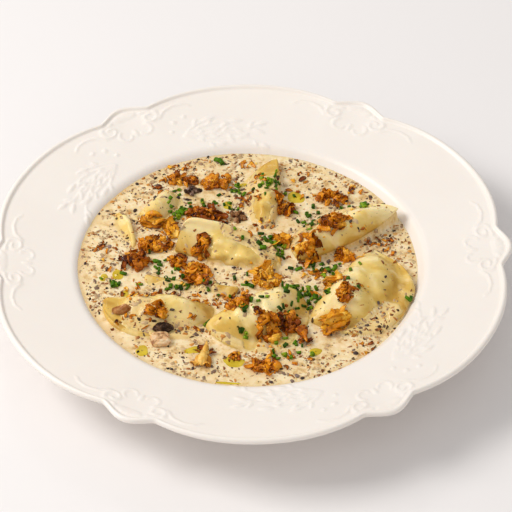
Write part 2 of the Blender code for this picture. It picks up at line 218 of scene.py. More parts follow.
def fbm(x, y, z, seed):
    """Three octaves of noise, each half as strong as the one before."""
    total, size, reach = 0.0, 1.0, 0.0
    for octave in range(3):
        total = total + size * noise(x * 2**octave, y * 2**octave, z * 2**octave, seed + octave)
        reach += size
        size *= 0.5
    return total / reach


def circle(count):
    """Angles of points that are evenly spaced round a circle."""
    return 2 * np.pi * np.arange(count) / count


def polar(radius, angle):
    return radius * np.cos(angle), radius * np.sin(angle)


def smoothstep(low, high, value):
    t = np.clip((value - low) / (high - low), 0, 1)
    return t * t * (3 - 2 * t)


def smooth_max(a, b, k):
    h = np.clip(0.5 + 0.5 * (a - b) / k, 0, 1)
    return b + (a - b) * h + k * h * (1 - h)


# Meshes


def add_object(name, data):
    obj = bpy.data.objects.new(name, data)
    bpy.context.scene.collection.objects.link(obj)
    return obj


def add_mesh(name, verts, faces, material, replaced=(), soak=None):
    """A piece from points in mm, faces that all have as many corners, and how soaked each point is."""
    mesh = bpy.data.meshes.new(name)
    verts = np.asarray(verts, np.float32) * np.float32(MM)
    faces = np.asarray(faces, np.int32)
    count, corners = faces.shape
    mesh.vertices.add(len(verts))
    mesh.vertices.foreach_set("co", verts.ravel())
    mesh.loops.add(count * corners)
    mesh.loops.foreach_set("vertex_index", faces.ravel())
    mesh.polygons.add(count)
    mesh.polygons.foreach_set("loop_start", np.arange(0, count * corners, corners, dtype=np.int32))
    mesh.update(calc_edges=True)
    mesh.validate()
    mesh.shade_smooth()
    if soak is not None:
        layer = mesh.attributes.new("soak", "FLOAT", "POINT")
        layer.data.foreach_set("value", np.asarray(soak, np.float32))
    mesh.materials.append(material)
    obj = add_object(name, mesh)
    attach(obj, ROOT)
    if replaced:
        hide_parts(*replaced)


def grid_faces(rows, cols, wrap=True):
    """Quads of a grid of rows by cols points; wrap joins the last column to the first."""
    r = np.arange(rows - 1)[:, None] * cols
    c = np.arange(cols if wrap else cols - 1)
    nxt = (c + 1) % cols
    return np.stack([r + c, r + nxt, r + cols + nxt, r + cols + c], -1).reshape(-1, 4)


def fan_faces(cols, base, centre):
    """Quads that join a centre to every second point of a ring."""
    ring = np.arange(0, cols, 2)
    return np.stack([np.full(len(ring), centre)] + [base + (ring + step) % cols for step in range(3)], -1)


def closed(grid, ends, turn=0):
    """Points and faces of a tube whose two ends are closed by fans.

    A quad is split from its first corner: turn says how far the fans' corners are moved on.
    """
    rows, cols = grid.shape[:2]
    first = np.roll(fan_faces(cols, 0, rows * cols), turn, axis=1)
    last = np.roll(fan_faces(cols, (rows - 1) * cols, rows * cols + 1), turn, axis=1)
    faces = np.concatenate([grid_faces(rows, cols), first[:, ::-1], last])
    return np.concatenate([grid.reshape(-1, 3), ends]), faces


def closed_by_ends(grid):
    """Points and faces of a tube whose first and last rings are drawn together to a point each."""
    return closed(grid[1:-1], [grid[0].mean(0), grid[-1].mean(0)], -1)


def sheet_faces(rows, cols):
    """Quads of a thin sheet: an upper and a lower grid, joined round the edge."""
    upper, under = grid_faces(rows, cols, wrap=False), rows * cols
    grid = np.arange(under).reshape(rows, cols)
    index = np.concatenate([grid[0], grid[1:, -1], grid[-1, -2::-1], grid[-2:0:-1, 0]])
    nxt = np.roll(index, -1)
    edge = np.stack([nxt, index, index + under, nxt + under], -1)
    return np.concatenate([upper, upper[:, ::-1] + under, edge])


class Pile:
    """Collects small meshes into one piece."""

    def __init__(self):
        self.verts, self.faces, self.count = [], [], 0

    def add(self, verts, faces):
        self.verts.append(verts)
        self.faces.append(np.asarray(faces) + self.count)
        self.count += len(verts)

    def lay(self, verts, faces, top, x, y, lift=0.0):
        """Adds a mesh at a place, lifted from the food there."""
        self.add(verts + [x, y, float(look_up(top, x, y)) + lift], faces)

    def settle(self, verts, faces, top, x, y, yaw, lift):
        """Adds a mesh that follows the food under it, but not into the deepest gaps."""
        verts = verts @ rotation(math.radians(yaw)).T
        base = look_up(top, verts[:, 0] + x, verts[:, 1] + y)
        middle = float(np.percentile(base, 60))
        follow = middle + np.clip(base - middle, -1.2, 1.2) * 0.7
        self.add(verts + np.stack([np.full(len(verts), x), np.full(len(verts), y), follow + lift], -1), faces)

    def mesh(self, name, material, slot=None, replaced=()):
        add_mesh(name, np.concatenate(self.verts), np.concatenate(self.faces), material, replaced)


def rotation(yaw, pitch=0.0, roll=0.0):
    cy, sy = math.cos(yaw), math.sin(yaw)
    cp, sp = math.cos(pitch), math.sin(pitch)
    cr, sr = math.cos(roll), math.sin(roll)
    turn = np.array([[cy, -sy, 0], [sy, cy, 0], [0, 0, 1]])
    lift = np.array([[cp, 0, -sp], [0, 1, 0], [sp, 0, cp]])
    tip = np.array([[1, 0, 0], [0, cr, -sr], [0, sr, cr]])
    return turn @ lift @ tip


def any_heading(rng):
    """A random angle over the whole circle."""
    return rng.uniform(0, 6.3)


def tumbled(rng, pitch, roll):
    """A rotation with any heading and small random tilts."""
    return rotation(any_heading(rng), rng.normal(0, pitch), rng.normal(0, roll))


def beside(x, y, ahead, aside, turn):
    """The place that lies ahead of and beside another one, for a heading."""
    c, s = math.cos(turn), math.sin(turn)
    return x + ahead * c - aside * s, y + ahead * s + aside * c


# Materials


FOOD_SHINE = 0.17  # specular level of sauce, mushrooms and chives
# Dough above this height is painted paler: painted light on the tops, painted shade lower down
PAINTED_LIGHT_START = 0.0265  # height in metres above which dough gets paler


class Value:
    """A node's output that can be part of a sum or go on into a ramp."""

    def __init__(self, look, socket):
        self.look, self.socket = look, socket

    def __add__(self, other):
        return self.look.math("ADD", self, other)

    def __sub__(self, other):
        return self.look.math("SUBTRACT", self, other)

    def __mul__(self, other):
        return self.look.math("MULTIPLY", self, other)

    def ramp(self, *stops):
        """Maps the value to colours; a colour given as one number is a grey."""
        node = self.look.node("ValToRGB", {"Fac": self})
        node.color_ramp.interpolation = "EASE"
        elements = node.color_ramp.elements
        while len(elements) < len(stops):
            elements.new(1.0)
        for element, (place, color) in zip(elements, stops):
            element.position = place
            element.color = (*color, 1) if isinstance(color, tuple) else (color, color, color, 1)
        return Value(self.look, node.outputs["Color"])

    def span(self, low, high):
        """Maps the value from 0..1 to low..high."""
        return self.look.out("MapRange", {"To Min": low, "To Max": high, "Value": self})


class Look:
    """A Principled material whose sockets can be fed by procedural nodes."""

    def __init__(self, name, **values):
        self.material = bpy.data.materials.new(name)
        self.material.use_nodes = True
        self.tree = self.material.node_tree
        self.shader = self.tree.nodes["Principled BSDF"]
        self.fill(self.shader, {socket.replace("_", " "): value for socket, value in values.items()})
        self.space = self.out("TexCoord", {}, "Object")

    def fill(self, node, values):
        """Gives each named or numbered socket a number, a colour or another node's output."""
        for name, value in values.items():
            socket = node.inputs[name]
            if isinstance(value, Value):
                self.tree.links.new(value.socket, socket)
            elif isinstance(value, tuple) and len(value) < len(socket.default_value):
                socket.default_value = (*value, 1)
            else:
                socket.default_value = value

    def node(self, kind, values):
        node = self.tree.nodes.new("ShaderNode" + kind)
        self.fill(node, values)
        return node

    def out(self, kind, values, output=0):
        return Value(self, self.node(kind, values).outputs[output])

    def noise(self, scale, detail, rough=0.55, distortion=0.0):
        sockets = {"Scale": scale, "Detail": detail, "Roughness": rough, "Distortion": distortion}
        return self.out("TexNoise", {**sockets, "Vector": self.space}, "Fac")

    def cells(self, scale, output="Distance"):
        return self.out("TexVoronoi", {"Scale": scale, "Vector": self.space}, output)

    def soak(self):
        node = self.node("Attribute", {})
        node.attribute_name = "soak"
        return Value(self, node.outputs["Fac"])

    def geometry(self, output):
        return self.out("NewGeometry", {}, output)

    def place(self):
        node = self.node("SeparateXYZ", {0: self.space})
        return [Value(self, socket) for socket in node.outputs]

    def math(self, kind, a, b=0.0):
        node = self.node("Math", {})
        node.operation = kind
        self.fill(node, {0: a, 1: b})
        return Value(self, node.outputs[0])

    def mix(self, factor, a, b):
        node = self.node("Mix", {})
        node.data_type = "RGBA"
        self.fill(node, {0: factor, 6: a, 7: b})
        return Value(self, node.outputs[2])

    def bump(self, height, distance, strength):
        normal = self.out("Bump", {"Strength": strength, "Distance": distance, "Height": height})
        self.fill(self.shader, {"Normal": normal})

    def base(self, color):
        self.fill(self.shader, {"Base Color": color})

    def rough(self, value, low, high):
        self.fill(self.shader, {"Roughness": value.span(low, high)})


def porcelain():
    look = Look(
        "porcelain_glaze", IOR=1.5, Coat_Weight=0.15, Coat_Roughness=0.16,
        Subsurface_Weight=0.12, Subsurface_Radius=(1.0, 0.8, 0.6), Subsurface_Scale=0.003)
    look.base(look.noise(28, 4).ramp((0.3, (0.882, 0.818, 0.757)), (0.7, (0.894, 0.835, 0.776))))
    look.rough(look.noise(60, 3), 0.34, 0.46)
    look.bump(look.noise(45, 2), 0.00006, 0.5)
    return look.material


def sauce_look():
    look = Look(
        "mushroom_cream_sauce", IOR=1.42, Specular_IOR_Level=FOOD_SHINE,
        Coat_Weight=0.30, Coat_Roughness=0.06, Coat_IOR=1.36,
        Subsurface_Weight=0.25, Subsurface_Radius=(1.0, 0.62, 0.32), Subsurface_Scale=0.0025)
    blotch = look.noise(120, 4, 0.6, 0.8) * 0.55 + look.noise(380, 3, 0.6) * 0.45
    cream = blotch.ramp(
        (0.33, (0.480, 0.270, 0.090)), (0.40, (0.710, 0.480, 0.215)),
        (0.48, (0.850, 0.650, 0.355)), (0.58, (0.912, 0.755, 0.485)))
    tinge = look.noise(38, 3, 0.55, 0.6).ramp((0.50, 0), (0.70, 0.34))
    cream = look.mix(tinge, cream, (0.770, 0.540, 0.240))
    x, y, _ = look.place()
    radius = look.math("SQRT", x * x + y * y)
    edge = radius + look.noise(60, 3) * 0.010
    rim = (edge * 10.0).ramp((0.885, 0), (0.950, 1))
    cream = look.mix(rim, cream, (0.760, 0.530, 0.265))
    cream = look.mix(look.soak() * 0.80, cream, (0.790, 0.555, 0.195))
    specks = look.math("LESS_THAN", look.cells(620), look.noise(210, 2).span(-0.20, 0.24))
    tint = look.cells(620, "Color").ramp((0.2, (0.075, 0.050, 0.040)), (0.75, (0.42, 0.22, 0.09)))
    look.base(look.mix(specks * 0.40, cream, tint))
    look.rough(look.noise(140, 3), 0.12, 0.30)
    look.bump(look.noise(190, 3, 0.5), 0.0006, 0.45)
    return look.material


def dough_look(name, pale=0.0):
    """Dough that is painted paler where it rises out of the sauce: painted light on its tops and painted
    shade low down.
    """
    look = Look(
        name, IOR=1.42, Specular_IOR_Level=0.26,
        Subsurface_Weight=0.25, Subsurface_Radius=(1.0, 0.60, 0.20), Subsurface_Scale=0.0025)
    # Height paints light onto the dough's upper parts and shade onto its lower parts
    height = (look.place()[2] - PAINTED_LIGHT_START) * 42.0
    tone = look.noise(75, 3, 0.5, 0.4) + pale + look.math("MINIMUM", height, 0.42)
    dough = tone.ramp(
        (0.42, (0.500, 0.265, 0.032)), (0.58, (0.670, 0.415, 0.075)),
        (0.76, (0.810, 0.585, 0.175)), (0.98, (0.930, 0.765, 0.385)))
    film = look.noise(78, 3, 0.5, 0.8).ramp((0.47, 0), (0.66, 0.66))
    dough = look.mix(film, dough, (0.935, 0.750, 0.385))
    dough = look.mix(look.soak() * 0.55, dough, (0.780, 0.540, 0.175))
    specks = look.math("LESS_THAN", look.cells(520), look.noise(120, 2).span(-0.10, 0.27))
    look.base(look.mix(specks * 0.75, dough, (0.10, 0.055, 0.02)))
    look.rough(look.noise(90, 3), 0.10, 0.26)
    look.bump(look.noise(130, 3, 0.55, 0.5), 0.0011, 0.5)
    return look.material


def crisp_look(name, stops):
    """Fried onion, with painted shade in its hollows and painted light on its ridges."""
    look = Look(
        name, IOR=1.45, Specular_IOR_Level=0.25,
        Subsurface_Weight=0.14, Subsurface_Radius=(1.0, 0.65, 0.35), Subsurface_Scale=0.0012)
    tone = look.geometry("Random Per Island") * 0.40 + look.noise(260, 4, 0.6) * 0.70
    # Pointiness paints shade into the hollows and light onto the ridges, as ambient occlusion would
    relief = (look.geometry("Pointiness") - 0.5) * 1.5
    look.base((tone - 0.075 + relief).ramp(*stops))
    look.rough(look.noise(500, 2), 0.12, 0.32)
    look.bump(look.noise(900, 3), 0.0004, 0.7)
    return look.material


DARK_TONES = (
    (0.20, (0.055, 0.009, 0.001)), (0.40, (0.260, 0.052, 0.001)),
    (0.60, (0.540, 0.155, 0.004)), (0.84, (0.850, 0.380, 0.028)))
BROWN_TONES = (
    (0.17, (0.085, 0.014, 0.001)), (0.36, (0.410, 0.102, 0.002)),
    (0.56, (0.740, 0.262, 0.006)), (0.84, (0.935, 0.500, 0.055)))
GOLD_TONES = (
    (0.14, (0.230, 0.054, 0.001)), (0.33, (0.640, 0.228, 0.005)),
    (0.54, (0.880, 0.425, 0.024)), (0.82, (0.975, 0.690, 0.200)))
PETAL_TONES = (
    (0.14, (0.240, 0.066, 0.003)), (0.32, (0.590, 0.230, 0.014)),
    (0.50, (0.800, 0.420, 0.066)), (0.84, (0.930, 0.660, 0.220)))
CHIVE_TONES = (
    (0.10, (0.014, 0.042, 0.0005)), (0.34, (0.042, 0.115, 0.001)),
    (0.62, (0.095, 0.215, 0.002)), (0.92, (0.290, 0.410, 0.016)))
SKIN_TONES = ((0.15, (0.020, 0.012, 0.010)), (0.55, (0.080, 0.052, 0.044)), (0.88, (0.330, 0.240, 0.200)))
MUSHROOM_TONES = {
    "tan": ((0.34, (0.100, 0.030, 0.005)), (0.54, (0.290, 0.100, 0.022)), (0.80, (0.600, 0.310, 0.110))),
    "dark": ((0.34, (0.030, 0.014, 0.008)), (0.50, (0.125, 0.062, 0.032)), (0.68, (0.420, 0.250, 0.160))),
    "pale": ((0.22, (0.300, 0.120, 0.045)), (0.36, (0.760, 0.480, 0.240)), (0.56, (0.920, 0.760, 0.520))),
    "brown": ((0.34, (0.070, 0.024, 0.008)), (0.50, (0.320, 0.145, 0.055)), (0.68, (0.640, 0.400, 0.230))),
    "grey": ((0.34, (0.030, 0.012, 0.006)), (0.50, (0.155, 0.082, 0.048)), (0.68, (0.430, 0.290, 0.220))),
}


def tone_look(name, stops, rough, scale=380.0, spread=0.6, bump=0.0003, subsurface=0.1):
    """Small pieces whose tone differs from piece to piece."""
    look = Look(
        name, IOR=1.45, Specular_IOR_Level=FOOD_SHINE, Subsurface_Weight=subsurface, Subsurface_Scale=0.001)
    tone = look.geometry("Random Per Island") * spread + look.noise(scale, 3) * (1.15 - spread)
    look.base((tone - 0.08).ramp(*stops))
    look.rough(look.noise(scale, 2), *rough)
    look.bump(look.noise(scale * 2, 3), bump, 0.7)
    return look.material


def oil_look():
    look = Look("golden_oil", IOR=1.47, Specular_IOR_Level=0.3, Roughness=0.04)
    look.base(look.noise(160, 2).ramp((0.3, (0.620, 0.430, 0.004)), (0.7, (0.820, 0.620, 0.030))))
    look.fill(look.shader, {"Alpha": look.noise(120, 2).span(0.62, 0.90)})
    return look.material


# Plate


class Path:
    """A profile drawn like a turtle in the r-z plane, with points no further apart than asked."""

    def __init__(self, r, z):
        self.points = [(r, z)]
        self.heading = 0.0

    def line_to(self, r, z, step=100.0):
        r0, z0 = self.points[-1]
        count = max(1, math.ceil(math.hypot(r - r0, z - z0) / step))
        for i in range(1, count + 1):
            self.points.append((r0 + (r - r0) * i / count, z0 + (z - z0) * i / count))

    def line(self, length, step=100.0):
        r, z = self.points[-1]
        self.line_to(r + length * math.cos(self.heading), z + length * math.sin(self.heading), step)

    def arc(self, radius, turn, steps):
        chord = 2 * radius * math.sin(abs(turn) / steps / 2)
        for _ in range(steps):
            self.heading += turn / steps / 2
            self.line(chord)
            self.heading += turn / steps / 2


def plate_profile():
    """The plate's section, from the middle of its top round the lip to the middle of its underside."""
    path = Path(0, FLOOR_TOP)
    path.line(FLOOR_RADIUS, 25)
    path.arc(WELL_FILLET, WELL_WALL_ANGLE, 5)
    path.line(WELL_WALL_LENGTH, 3)
    path.arc(WELL_EDGE_RADIUS, RIM_ANGLE - WELL_WALL_ANGLE, 6)
    path.line(RIM_LENGTH, 0.70)
    path.arc(LIP_STEP, math.radians(50), 3)
    path.arc(LIP_STEP, -math.radians(50), 3)
    path.arc(LIP_RADIUS, -math.radians(180), 8)
    edge_r, edge_z = path.points[-1]
    rim_end_r = WALL_FOOT_RADIUS + 14
    path.line_to(rim_end_r, edge_z - (edge_r - rim_end_r) * math.tan(RIM_ANGLE), 12)
    under = Path(FOOT_OUTER_RADIUS, FLOOR_BOTTOM)
    under.line(6)
    under.arc(WELL_FILLET, WELL_WALL_ANGLE, 4)
    path.points += under.points[:0:-1]
    inner = FOOT_OUTER_RADIUS - FOOT_WIDTH
    for r, z in (
            (FOOT_OUTER_RADIUS, FLOOR_BOTTOM), (FOOT_OUTER_RADIUS - 0.3, 0.4), (FOOT_OUTER_RADIUS - 0.8, 0),
            (inner + 0.4, 0), (inner, 0.4), (inner - 1, FOOT_HEIGHT)):
        path.line_to(r, z)
    path.line_to(0, FOOT_HEIGHT, 30)
    return np.array(path.points)


def from_shell(angle):
    """Signed angle from the nearest shell."""
    turns = (angle - FIRST_SHELL_ANGLE) / LOBE_PITCH
    return (turns - np.round(turns)) * LOBE_PITCH


def outline_scale(angle):
    """The rim's radius at an angle, as a share of its largest."""
    away = np.abs(from_shell(angle))
    outside = np.maximum(away, SHELL_HALF_ANGLE)
    scale = 1 - LOBE_DROP * (1 - outside / (LOBE_PITCH / 2)) ** LOBE_POWER
    bump = 0.5 + 0.5 * np.cos(math.pi * np.clip(away / (1.08 * SHELL_HALF_ANGLE), 0, 1))
    return (scale + SHELL_RISE * bump**0.8) * (1 - OVAL * np.sin(angle) ** 2)


def leaf(u, v, cu, cv, angle, length, width):
    """A pointed leaf in low relief, from 0 to 1."""
    c, s = math.cos(angle), math.sin(angle)
    a = ((u - cu) * c + (v - cv) * s) / (length / 2)
    b = (-(u - cu) * s + (v - cv) * c) / (width / 2)
    body = np.clip(1 - a * a, 0, 1)
    inside = np.clip(body - b * b / np.maximum(body, 0.05), 0, 1)
    return inside**0.7 * (1 - 0.3 * np.exp(-((b / 0.22) ** 2)))


def stroke(u, v, points, width, taper):
    """A rounded line through the points, in low relief, from 0 to 1."""
    nearest = np.full(u.shape, 1e9)
    last = len(points) - 2
    for i, ((u0, v0), (u1, v1)) in enumerate(zip(points, points[1:])):
        du, dv = u1 - u0, v1 - v0
        t = np.clip(((u - u0) * du + (v - v0) * dv) / (du * du + dv * dv), 0, 1)
        local = width * (1 - taper * (i + t) / (last + 1))
        nearest = np.minimum(nearest, np.hypot(u - u0 - t * du, v - v0 - t * dv) / local)
    return np.exp(-((nearest / 0.85) ** 2))


def spiral(cu, cv, radius, start, turns, shrink):
    """Points of a scroll that winds inwards."""
    points, steps = [], 14
    for i in range(steps + 1):
        t = i / steps
        angle = start - turns * 2 * math.pi * t
        size = radius * (1 - shrink * t)
        points.append((cu + size * math.cos(angle), cv + size * math.sin(angle)))
    return points


def shell_relief(u, v):
    """The ornament at each shell: flutes between two scrolls, with tails along the lip."""
    u = np.abs(u)
    scroll = spiral(10.5, 15.5, 5.2, math.radians(120), 1.15, 0.72)
    tail = [(14.5, 12.5), (18, 16.5), (23, 18.6), (28, 18.4), (31, 16.4)]
    hook = spiral(5.0, 8.5, 4.2, math.radians(60), 0.62, 0.4)
    parts = [
        0.95 * stroke(u, v, scroll, 1.0, 0.35), 0.8 * stroke(u, v, tail, 1.0, 0.6),
        0.75 * stroke(u, v, hook, 0.9, 0.5), 0.8 * leaf(u, v, 0.0, 8.5, math.pi / 2, 6.5, 2.6)]
    for angle, length in ((90, 9.0), (66, 8.6), (43, 7.0)):
        way = math.radians(angle)
        cu, cv = 5.6 * math.cos(way), 17.5 + 5.0 * math.sin(way)
        parts.append(0.85 * leaf(u, v, cu, cv, way, length, 3.0))
    return np.maximum.reduce(parts)


def spray_relief(u, v):
    """A leafy spray that fans away from a shell, with a few berries at its root."""
    parts = []
    steps = 8
    branches = ((-40, 22), (-25, 33), (-11, 43), (2, 48), (14, 42), (28, 30), (46, 18))
    for number, (degrees, length) in enumerate(branches):
        points = []
        for i in range(steps + 1):
            t = i / steps
            bend = math.radians(degrees) - math.radians(16) * t * (1 if degrees > 0 else -1)
            points.append((22.0 + length * t * math.cos(bend), -3.0 + length * t * math.sin(bend)))
        parts.append(0.55 * stroke(u, v, points, 0.7, 0.4))
        gaps = max(2, round(length / 7.5))
        for i in range(1, gaps + 1):
            t = steps * i / gaps
            k = min(steps - 1, int(t - 1e-6))
            (u0, v0), (u1, v1) = points[k], points[k + 1]
            cu, cv = u0 + (u1 - u0) * (t - k), v0 + (v1 - v0) * (t - k)
            angle = math.atan2(v1 - v0, u1 - u0)
            if i == gaps:
                parts.append(leaf(u, v, cu, cv, angle, 9.0, 2.7))
                continue
            angle += (1 if (i + number) % 2 else -1) * math.radians(34)
            parts.append(0.85 * leaf(u, v, *beside(cu, cv, 2.6, 0, angle), angle, 6.4, 1.9))
    for cu, cv, r in ((20, 8.0, 1.6), (26, 10.5, 1.4), (17.0, 2.0, 1.3)):
        parts.append(0.8 * np.clip(1 - ((u - cu) ** 2 + (v - cv) ** 2) / r**2, 0, 1))
    return np.maximum.reduce(parts)


def make_plate():
    profile = plate_profile()
    angle = circle(PLATE_COLUMNS)
    r, z = profile[:, :1], profile[:, 1:] + 0 * angle
    widest, well_edge = r.max(), WALL_FOOT_RADIUS + WELL_WALL_LENGTH
    share = np.clip((r - well_edge) / (widest - well_edge), 0, 1)
    outline = outline_scale(angle)
    radius = r * (1 + (outline - 1) * share**1.5)
    u, v = from_shell(angle) * RELIEF_RADIUS + 0 * r, radius - RELIEF_RADIUS
    relief = RELIEF_HEIGHT * shell_relief(u, v)
    for shell in SPRAY_SHELLS:
        turned = (angle - FIRST_SHELL_ANGLE - shell * LOBE_PITCH + math.pi) % (2 * math.pi) - math.pi
        near = np.abs(turned) < SPRAY_HALF_ANGLE
        around = SPRAY_RADIUS * np.abs(turned[near]) + 0 * r
        spray = RELIEF_HEIGHT * spray_relief(around, v[:, near] + 1.0)
        relief[:, near] = np.maximum(relief[:, near], spray)
    lip = widest * outline - RELIEF_RADIUS
    fade = smoothstep(*RELIEF_INNER_FADE, v)
    fade = fade * (1 - smoothstep(lip - RELIEF_LIP_FADE[0], lip - RELIEF_LIP_FADE[1], v))
    topside = np.arange(len(r))[:, None] <= np.argmax(r)
    z = z + relief * (fade * topside)
    points, faces = closed_by_ends(np.stack([*polar(radius, angle), z], -1))
    add_mesh("plate_glazed", points, faces[:, ::-1], porcelain(), ["plate"])


# Dumplings


def dumpling_points(name, rows, cols):
    """The dumpling's surface as a grid of points in mm, as uneven as dough folded by hand."""
    place, yaw, tilt, pitch, (length, width, thickness), curl, ends, dome = DUMPLINGS[name]
    seed = sorted(DUMPLINGS).index(name) * 7 + 3
    along = -np.cos(np.pi * np.arange(rows) / (rows - 1))[:, None]
    along, around = np.broadcast_arrays(along, circle(cols))
    power = np.where(along < 0, ends[0], ends[1])
    end = np.clip(1 - np.abs(along) ** power, 0, 1) ** (1 / power)
    fold = -BELLY_SHARE * width * end
    border = width * end * (1 + 0.035 * noise(along * 3.1, 0, 0, seed))
    across = (1 + np.cos(around)) / 2
    y = fold + (border - fold) * across
    filled = np.minimum(1, across / SEAM_SHARE)
    filling = np.where(filled < 1, np.sin(np.pi * filled**0.75), 0)
    filling = np.clip(filling, 0, 1) ** 0.8 * thickness / 2
    middle = np.clip((2 * along - dome[0] - dome[1]) / (dome[1] - dome[0]), -1, 1)
    filling = filling * np.clip(1 - np.abs(middle) ** 2.6, 0, 1) ** 0.85
    calm = min(max((length - 24) / 26, 0.15), 1.0)
    lumps = 0.30 * fbm(along * 3.4, across * 2.8, 0, seed + 1)
    lumps = lumps + 0.10 * noise(along * 9, across * 6, 0, seed + 2)
    filling = filling * (1 + calm * lumps)
    pinch = BORDER_THICKNESS / 2 * np.minimum(1, 2.2 * np.abs(np.sin(around))) * np.minimum(1, 2.5 * end)
    press = 1 - 0.25 * smoothstep(0.72, 0.80, across) * (1 - smoothstep(0.80, 0.92, across))
    half = np.hypot(filling, pinch * press)
    half = np.where(np.sin(around) < 0, -half * UNDERSIDE_SHARE, half)
    wave = 0.9 * calm * noise(along * 2.3, 5.0, 0, seed + 4) * smoothstep(0.6, 1.0, across) * end
    local = np.stack([length / 2 * along, y, half + wave + curl * along * along], -1)
    turn = rotation(math.radians(yaw), math.radians(pitch), math.radians(tilt))
    return local @ turn.T + np.array(place, float)


def make_dumplings(sauce, dough, pale):
    for name in DUMPLINGS:
        points, faces = closed_by_ends(dumpling_points(name, DUMPLING_ROWS, DUMPLING_COLUMNS))
        above = points[:, 2] - look_up(sauce, points[:, 0], points[:, 1])
        look = pale if name == "pierogi_left" else dough
        add_mesh("dough_" + name, points, faces, look, [name], 1 - smoothstep(0.0, 2.2, above))


# Heights of the food, kept as a raster of the plate's middle

CELL = 0.25
HALF = 92.0
SIZE = int(2 * HALF / CELL) + 1
AXIS = np.linspace(-HALF, HALF, SIZE)
GRID_X, GRID_Y = np.meshgrid(AXIS, AXIS, indexing="ij")
NO_FOOD = 5.0


def blur(field, sigma):
    reach = int(3 * sigma / CELL) + 1
    kernel = np.exp(-((np.arange(-reach, reach + 1) * CELL / sigma) ** 2) / 2)
    kernel /= kernel.sum()
    for axis in (0, 1):
        padded = np.pad(field, [(reach, reach) if a == axis else (0, 0) for a in (0, 1)], mode="edge")
        total = np.zeros_like(field)
        for i, weight in enumerate(kernel):
            cut = [slice(None), slice(None)]
            cut[axis] = slice(i, i + field.shape[axis])
            total += weight * padded[tuple(cut)]
        field = total
    return field


def dumpling_heights():
    field = np.full((SIZE, SIZE), NO_FOOD)
    for name in DUMPLINGS:
        points = dumpling_points(name, SAMPLED_ROWS, SAMPLED_COLUMNS).reshape(-1, 3)
        cells = np.clip(np.round((points[:, :2] + HALF) / CELL).astype(int), 0, SIZE - 1)
        np.maximum.at(field, tuple(cells.T), points[:, 2])
    for _ in range(2):
        around = np.stack([np.roll(field, s, a) for a in (0, 1) for s in (1, -1)])
        several = (around > NO_FOOD + 1).sum(0) >= 3
        field = np.where((field < NO_FOOD + 1) & several, around.max(0), field)
    return field


# Sauce lies over some of the dough, and leaves other parts bare: place, half sizes, strength
SAUCE_PATCHES = (
    (-50, -41, 15, 8, 1.5), (-33, -47, 8, 4, 0.9), (-14, -55, 9, 5, 1.5), (66, -36, 11, 14, 1.2),
    (78, -24, 4, 9, -0.5), (60, -50, 12, 5, 0.9), (-30, -14, 13, 6, 1.6), (12, 40, 9, 8, 1.0),
    (22, 12, 6, 6, 0.8), (4, 12, 14, 5, 1.3), (6, 57, 7, 8, 1.7), (16, 59, 6, 6, 1.8),
    (33, 27, 17, 12, 1.9), (-52, 24, 9, 6, 0.9), (38, -50, 9, 4, 0.4), (53, 36, 13, 6, 1.2),
    (-20, 4, 4, 3, 0.6), (-12, -6, 9, 4, 1.1), (-58, 33, 6, 6, 0.9), (30, -12, 6, 5, 0.8),
    (-2, 22, 9, 4, 1.2), (-73, -33, 6, 9, -1.0), (-27, -34, 12, 9, -0.9), (0, -42, 24, 13, -1.0),
    (52, -16, 17, 13, -1.1), (74, 30, 8, 7, -1.2), (-34, 14, 9, 9, -1.5), (13, 72, 8, 8, -1.3),
    (-51, 46, 9, 9, -2.2), (-67, 24, 6, 16, -1.5), (-50, -8, 10, 5, -2.6), (-9, -19, 6, 4, -1.5),
    (-12, 0, 14, 5, -0.4), (58, 24, 8, 4, -1.0), (10, 33, 8, 5, -0.15), (-5, 17, 11, 6, 2.2),
    (-57, -36, 8, 5, 1.5), (7, 4, 6, 8, 1.4),
)
BARE_FROM = 4.6  # dough that stands this far above the sauce is mostly bare
FILM_BARE, FILM_COVERED = -1.5, 0.6  # height of the sauce's film over bare and over covered dough


def add_patches(field, patches, x, y):
    """The field at x, y, raised by soft patches."""
    for px, py, rx, ry, strength in patches:
        field = field + strength * np.exp(-(((x - px) / rx) ** 2 + ((y - py) / ry) ** 2))
    return field


def sauce_level(x, y):
    """Thick sauce lies a little higher towards the plate's left."""
    level = SAUCE_LEVEL - 0.017 * (x + 6) + 0.22 * fbm(x / 13, y / 13, 0, 61)
    return level + 0.10 * fbm(x / 3.2, y / 3.2, 0, 71)


def sauce_heights(dough):
    """Heights of the sauce, which covers low dough with a film and leaves high dough bare."""
    level = sauce_level(GRID_X, GRID_Y)
    proud = dough - level
    cover = 0.42 - np.minimum(proud / BARE_FROM, 1.15) + 0.60 * fbm(GRID_X / 6.5, GRID_Y / 6.5, 0, 31)
    cover = smoothstep(0.0, 0.35, add_patches(cover, SAUCE_PATCHES, GRID_X, GRID_Y))
    film = FILM_BARE + (FILM_COVERED - FILM_BARE) * cover + 0.15 * fbm(GRID_X / 2.0, GRID_Y / 2.0, 0, 41)
    under = blur(np.maximum(dough, level - 3.0), 0.45) + film
    return blur(smooth_max(level, under, 1.1), 0.22)


def look_up(field, x, y):
    """The field's value at places in mm, by linear interpolation."""
    fx = np.clip((np.asarray(x, float) + HALF) / CELL, 0, SIZE - 1.001)
    fy = np.clip((np.asarray(y, float) + HALF) / CELL, 0, SIZE - 1.001)
    i, j = fx.astype(int), fy.astype(int)
    a, b = fx - i, fy - j
    near = field[i, j] * (1 - a) * (1 - b) + field[i + 1, j] * a * (1 - b)
    return near + field[i, j + 1] * (1 - a) * b + field[i + 1, j + 1] * a * b


def wall_radius(z):
    """The radius of the well's wall at a height."""
    return WALL_FOOT_RADIUS + (z - WALL_FOOT_HEIGHT) / math.tan(WELL_WALL_ANGLE)


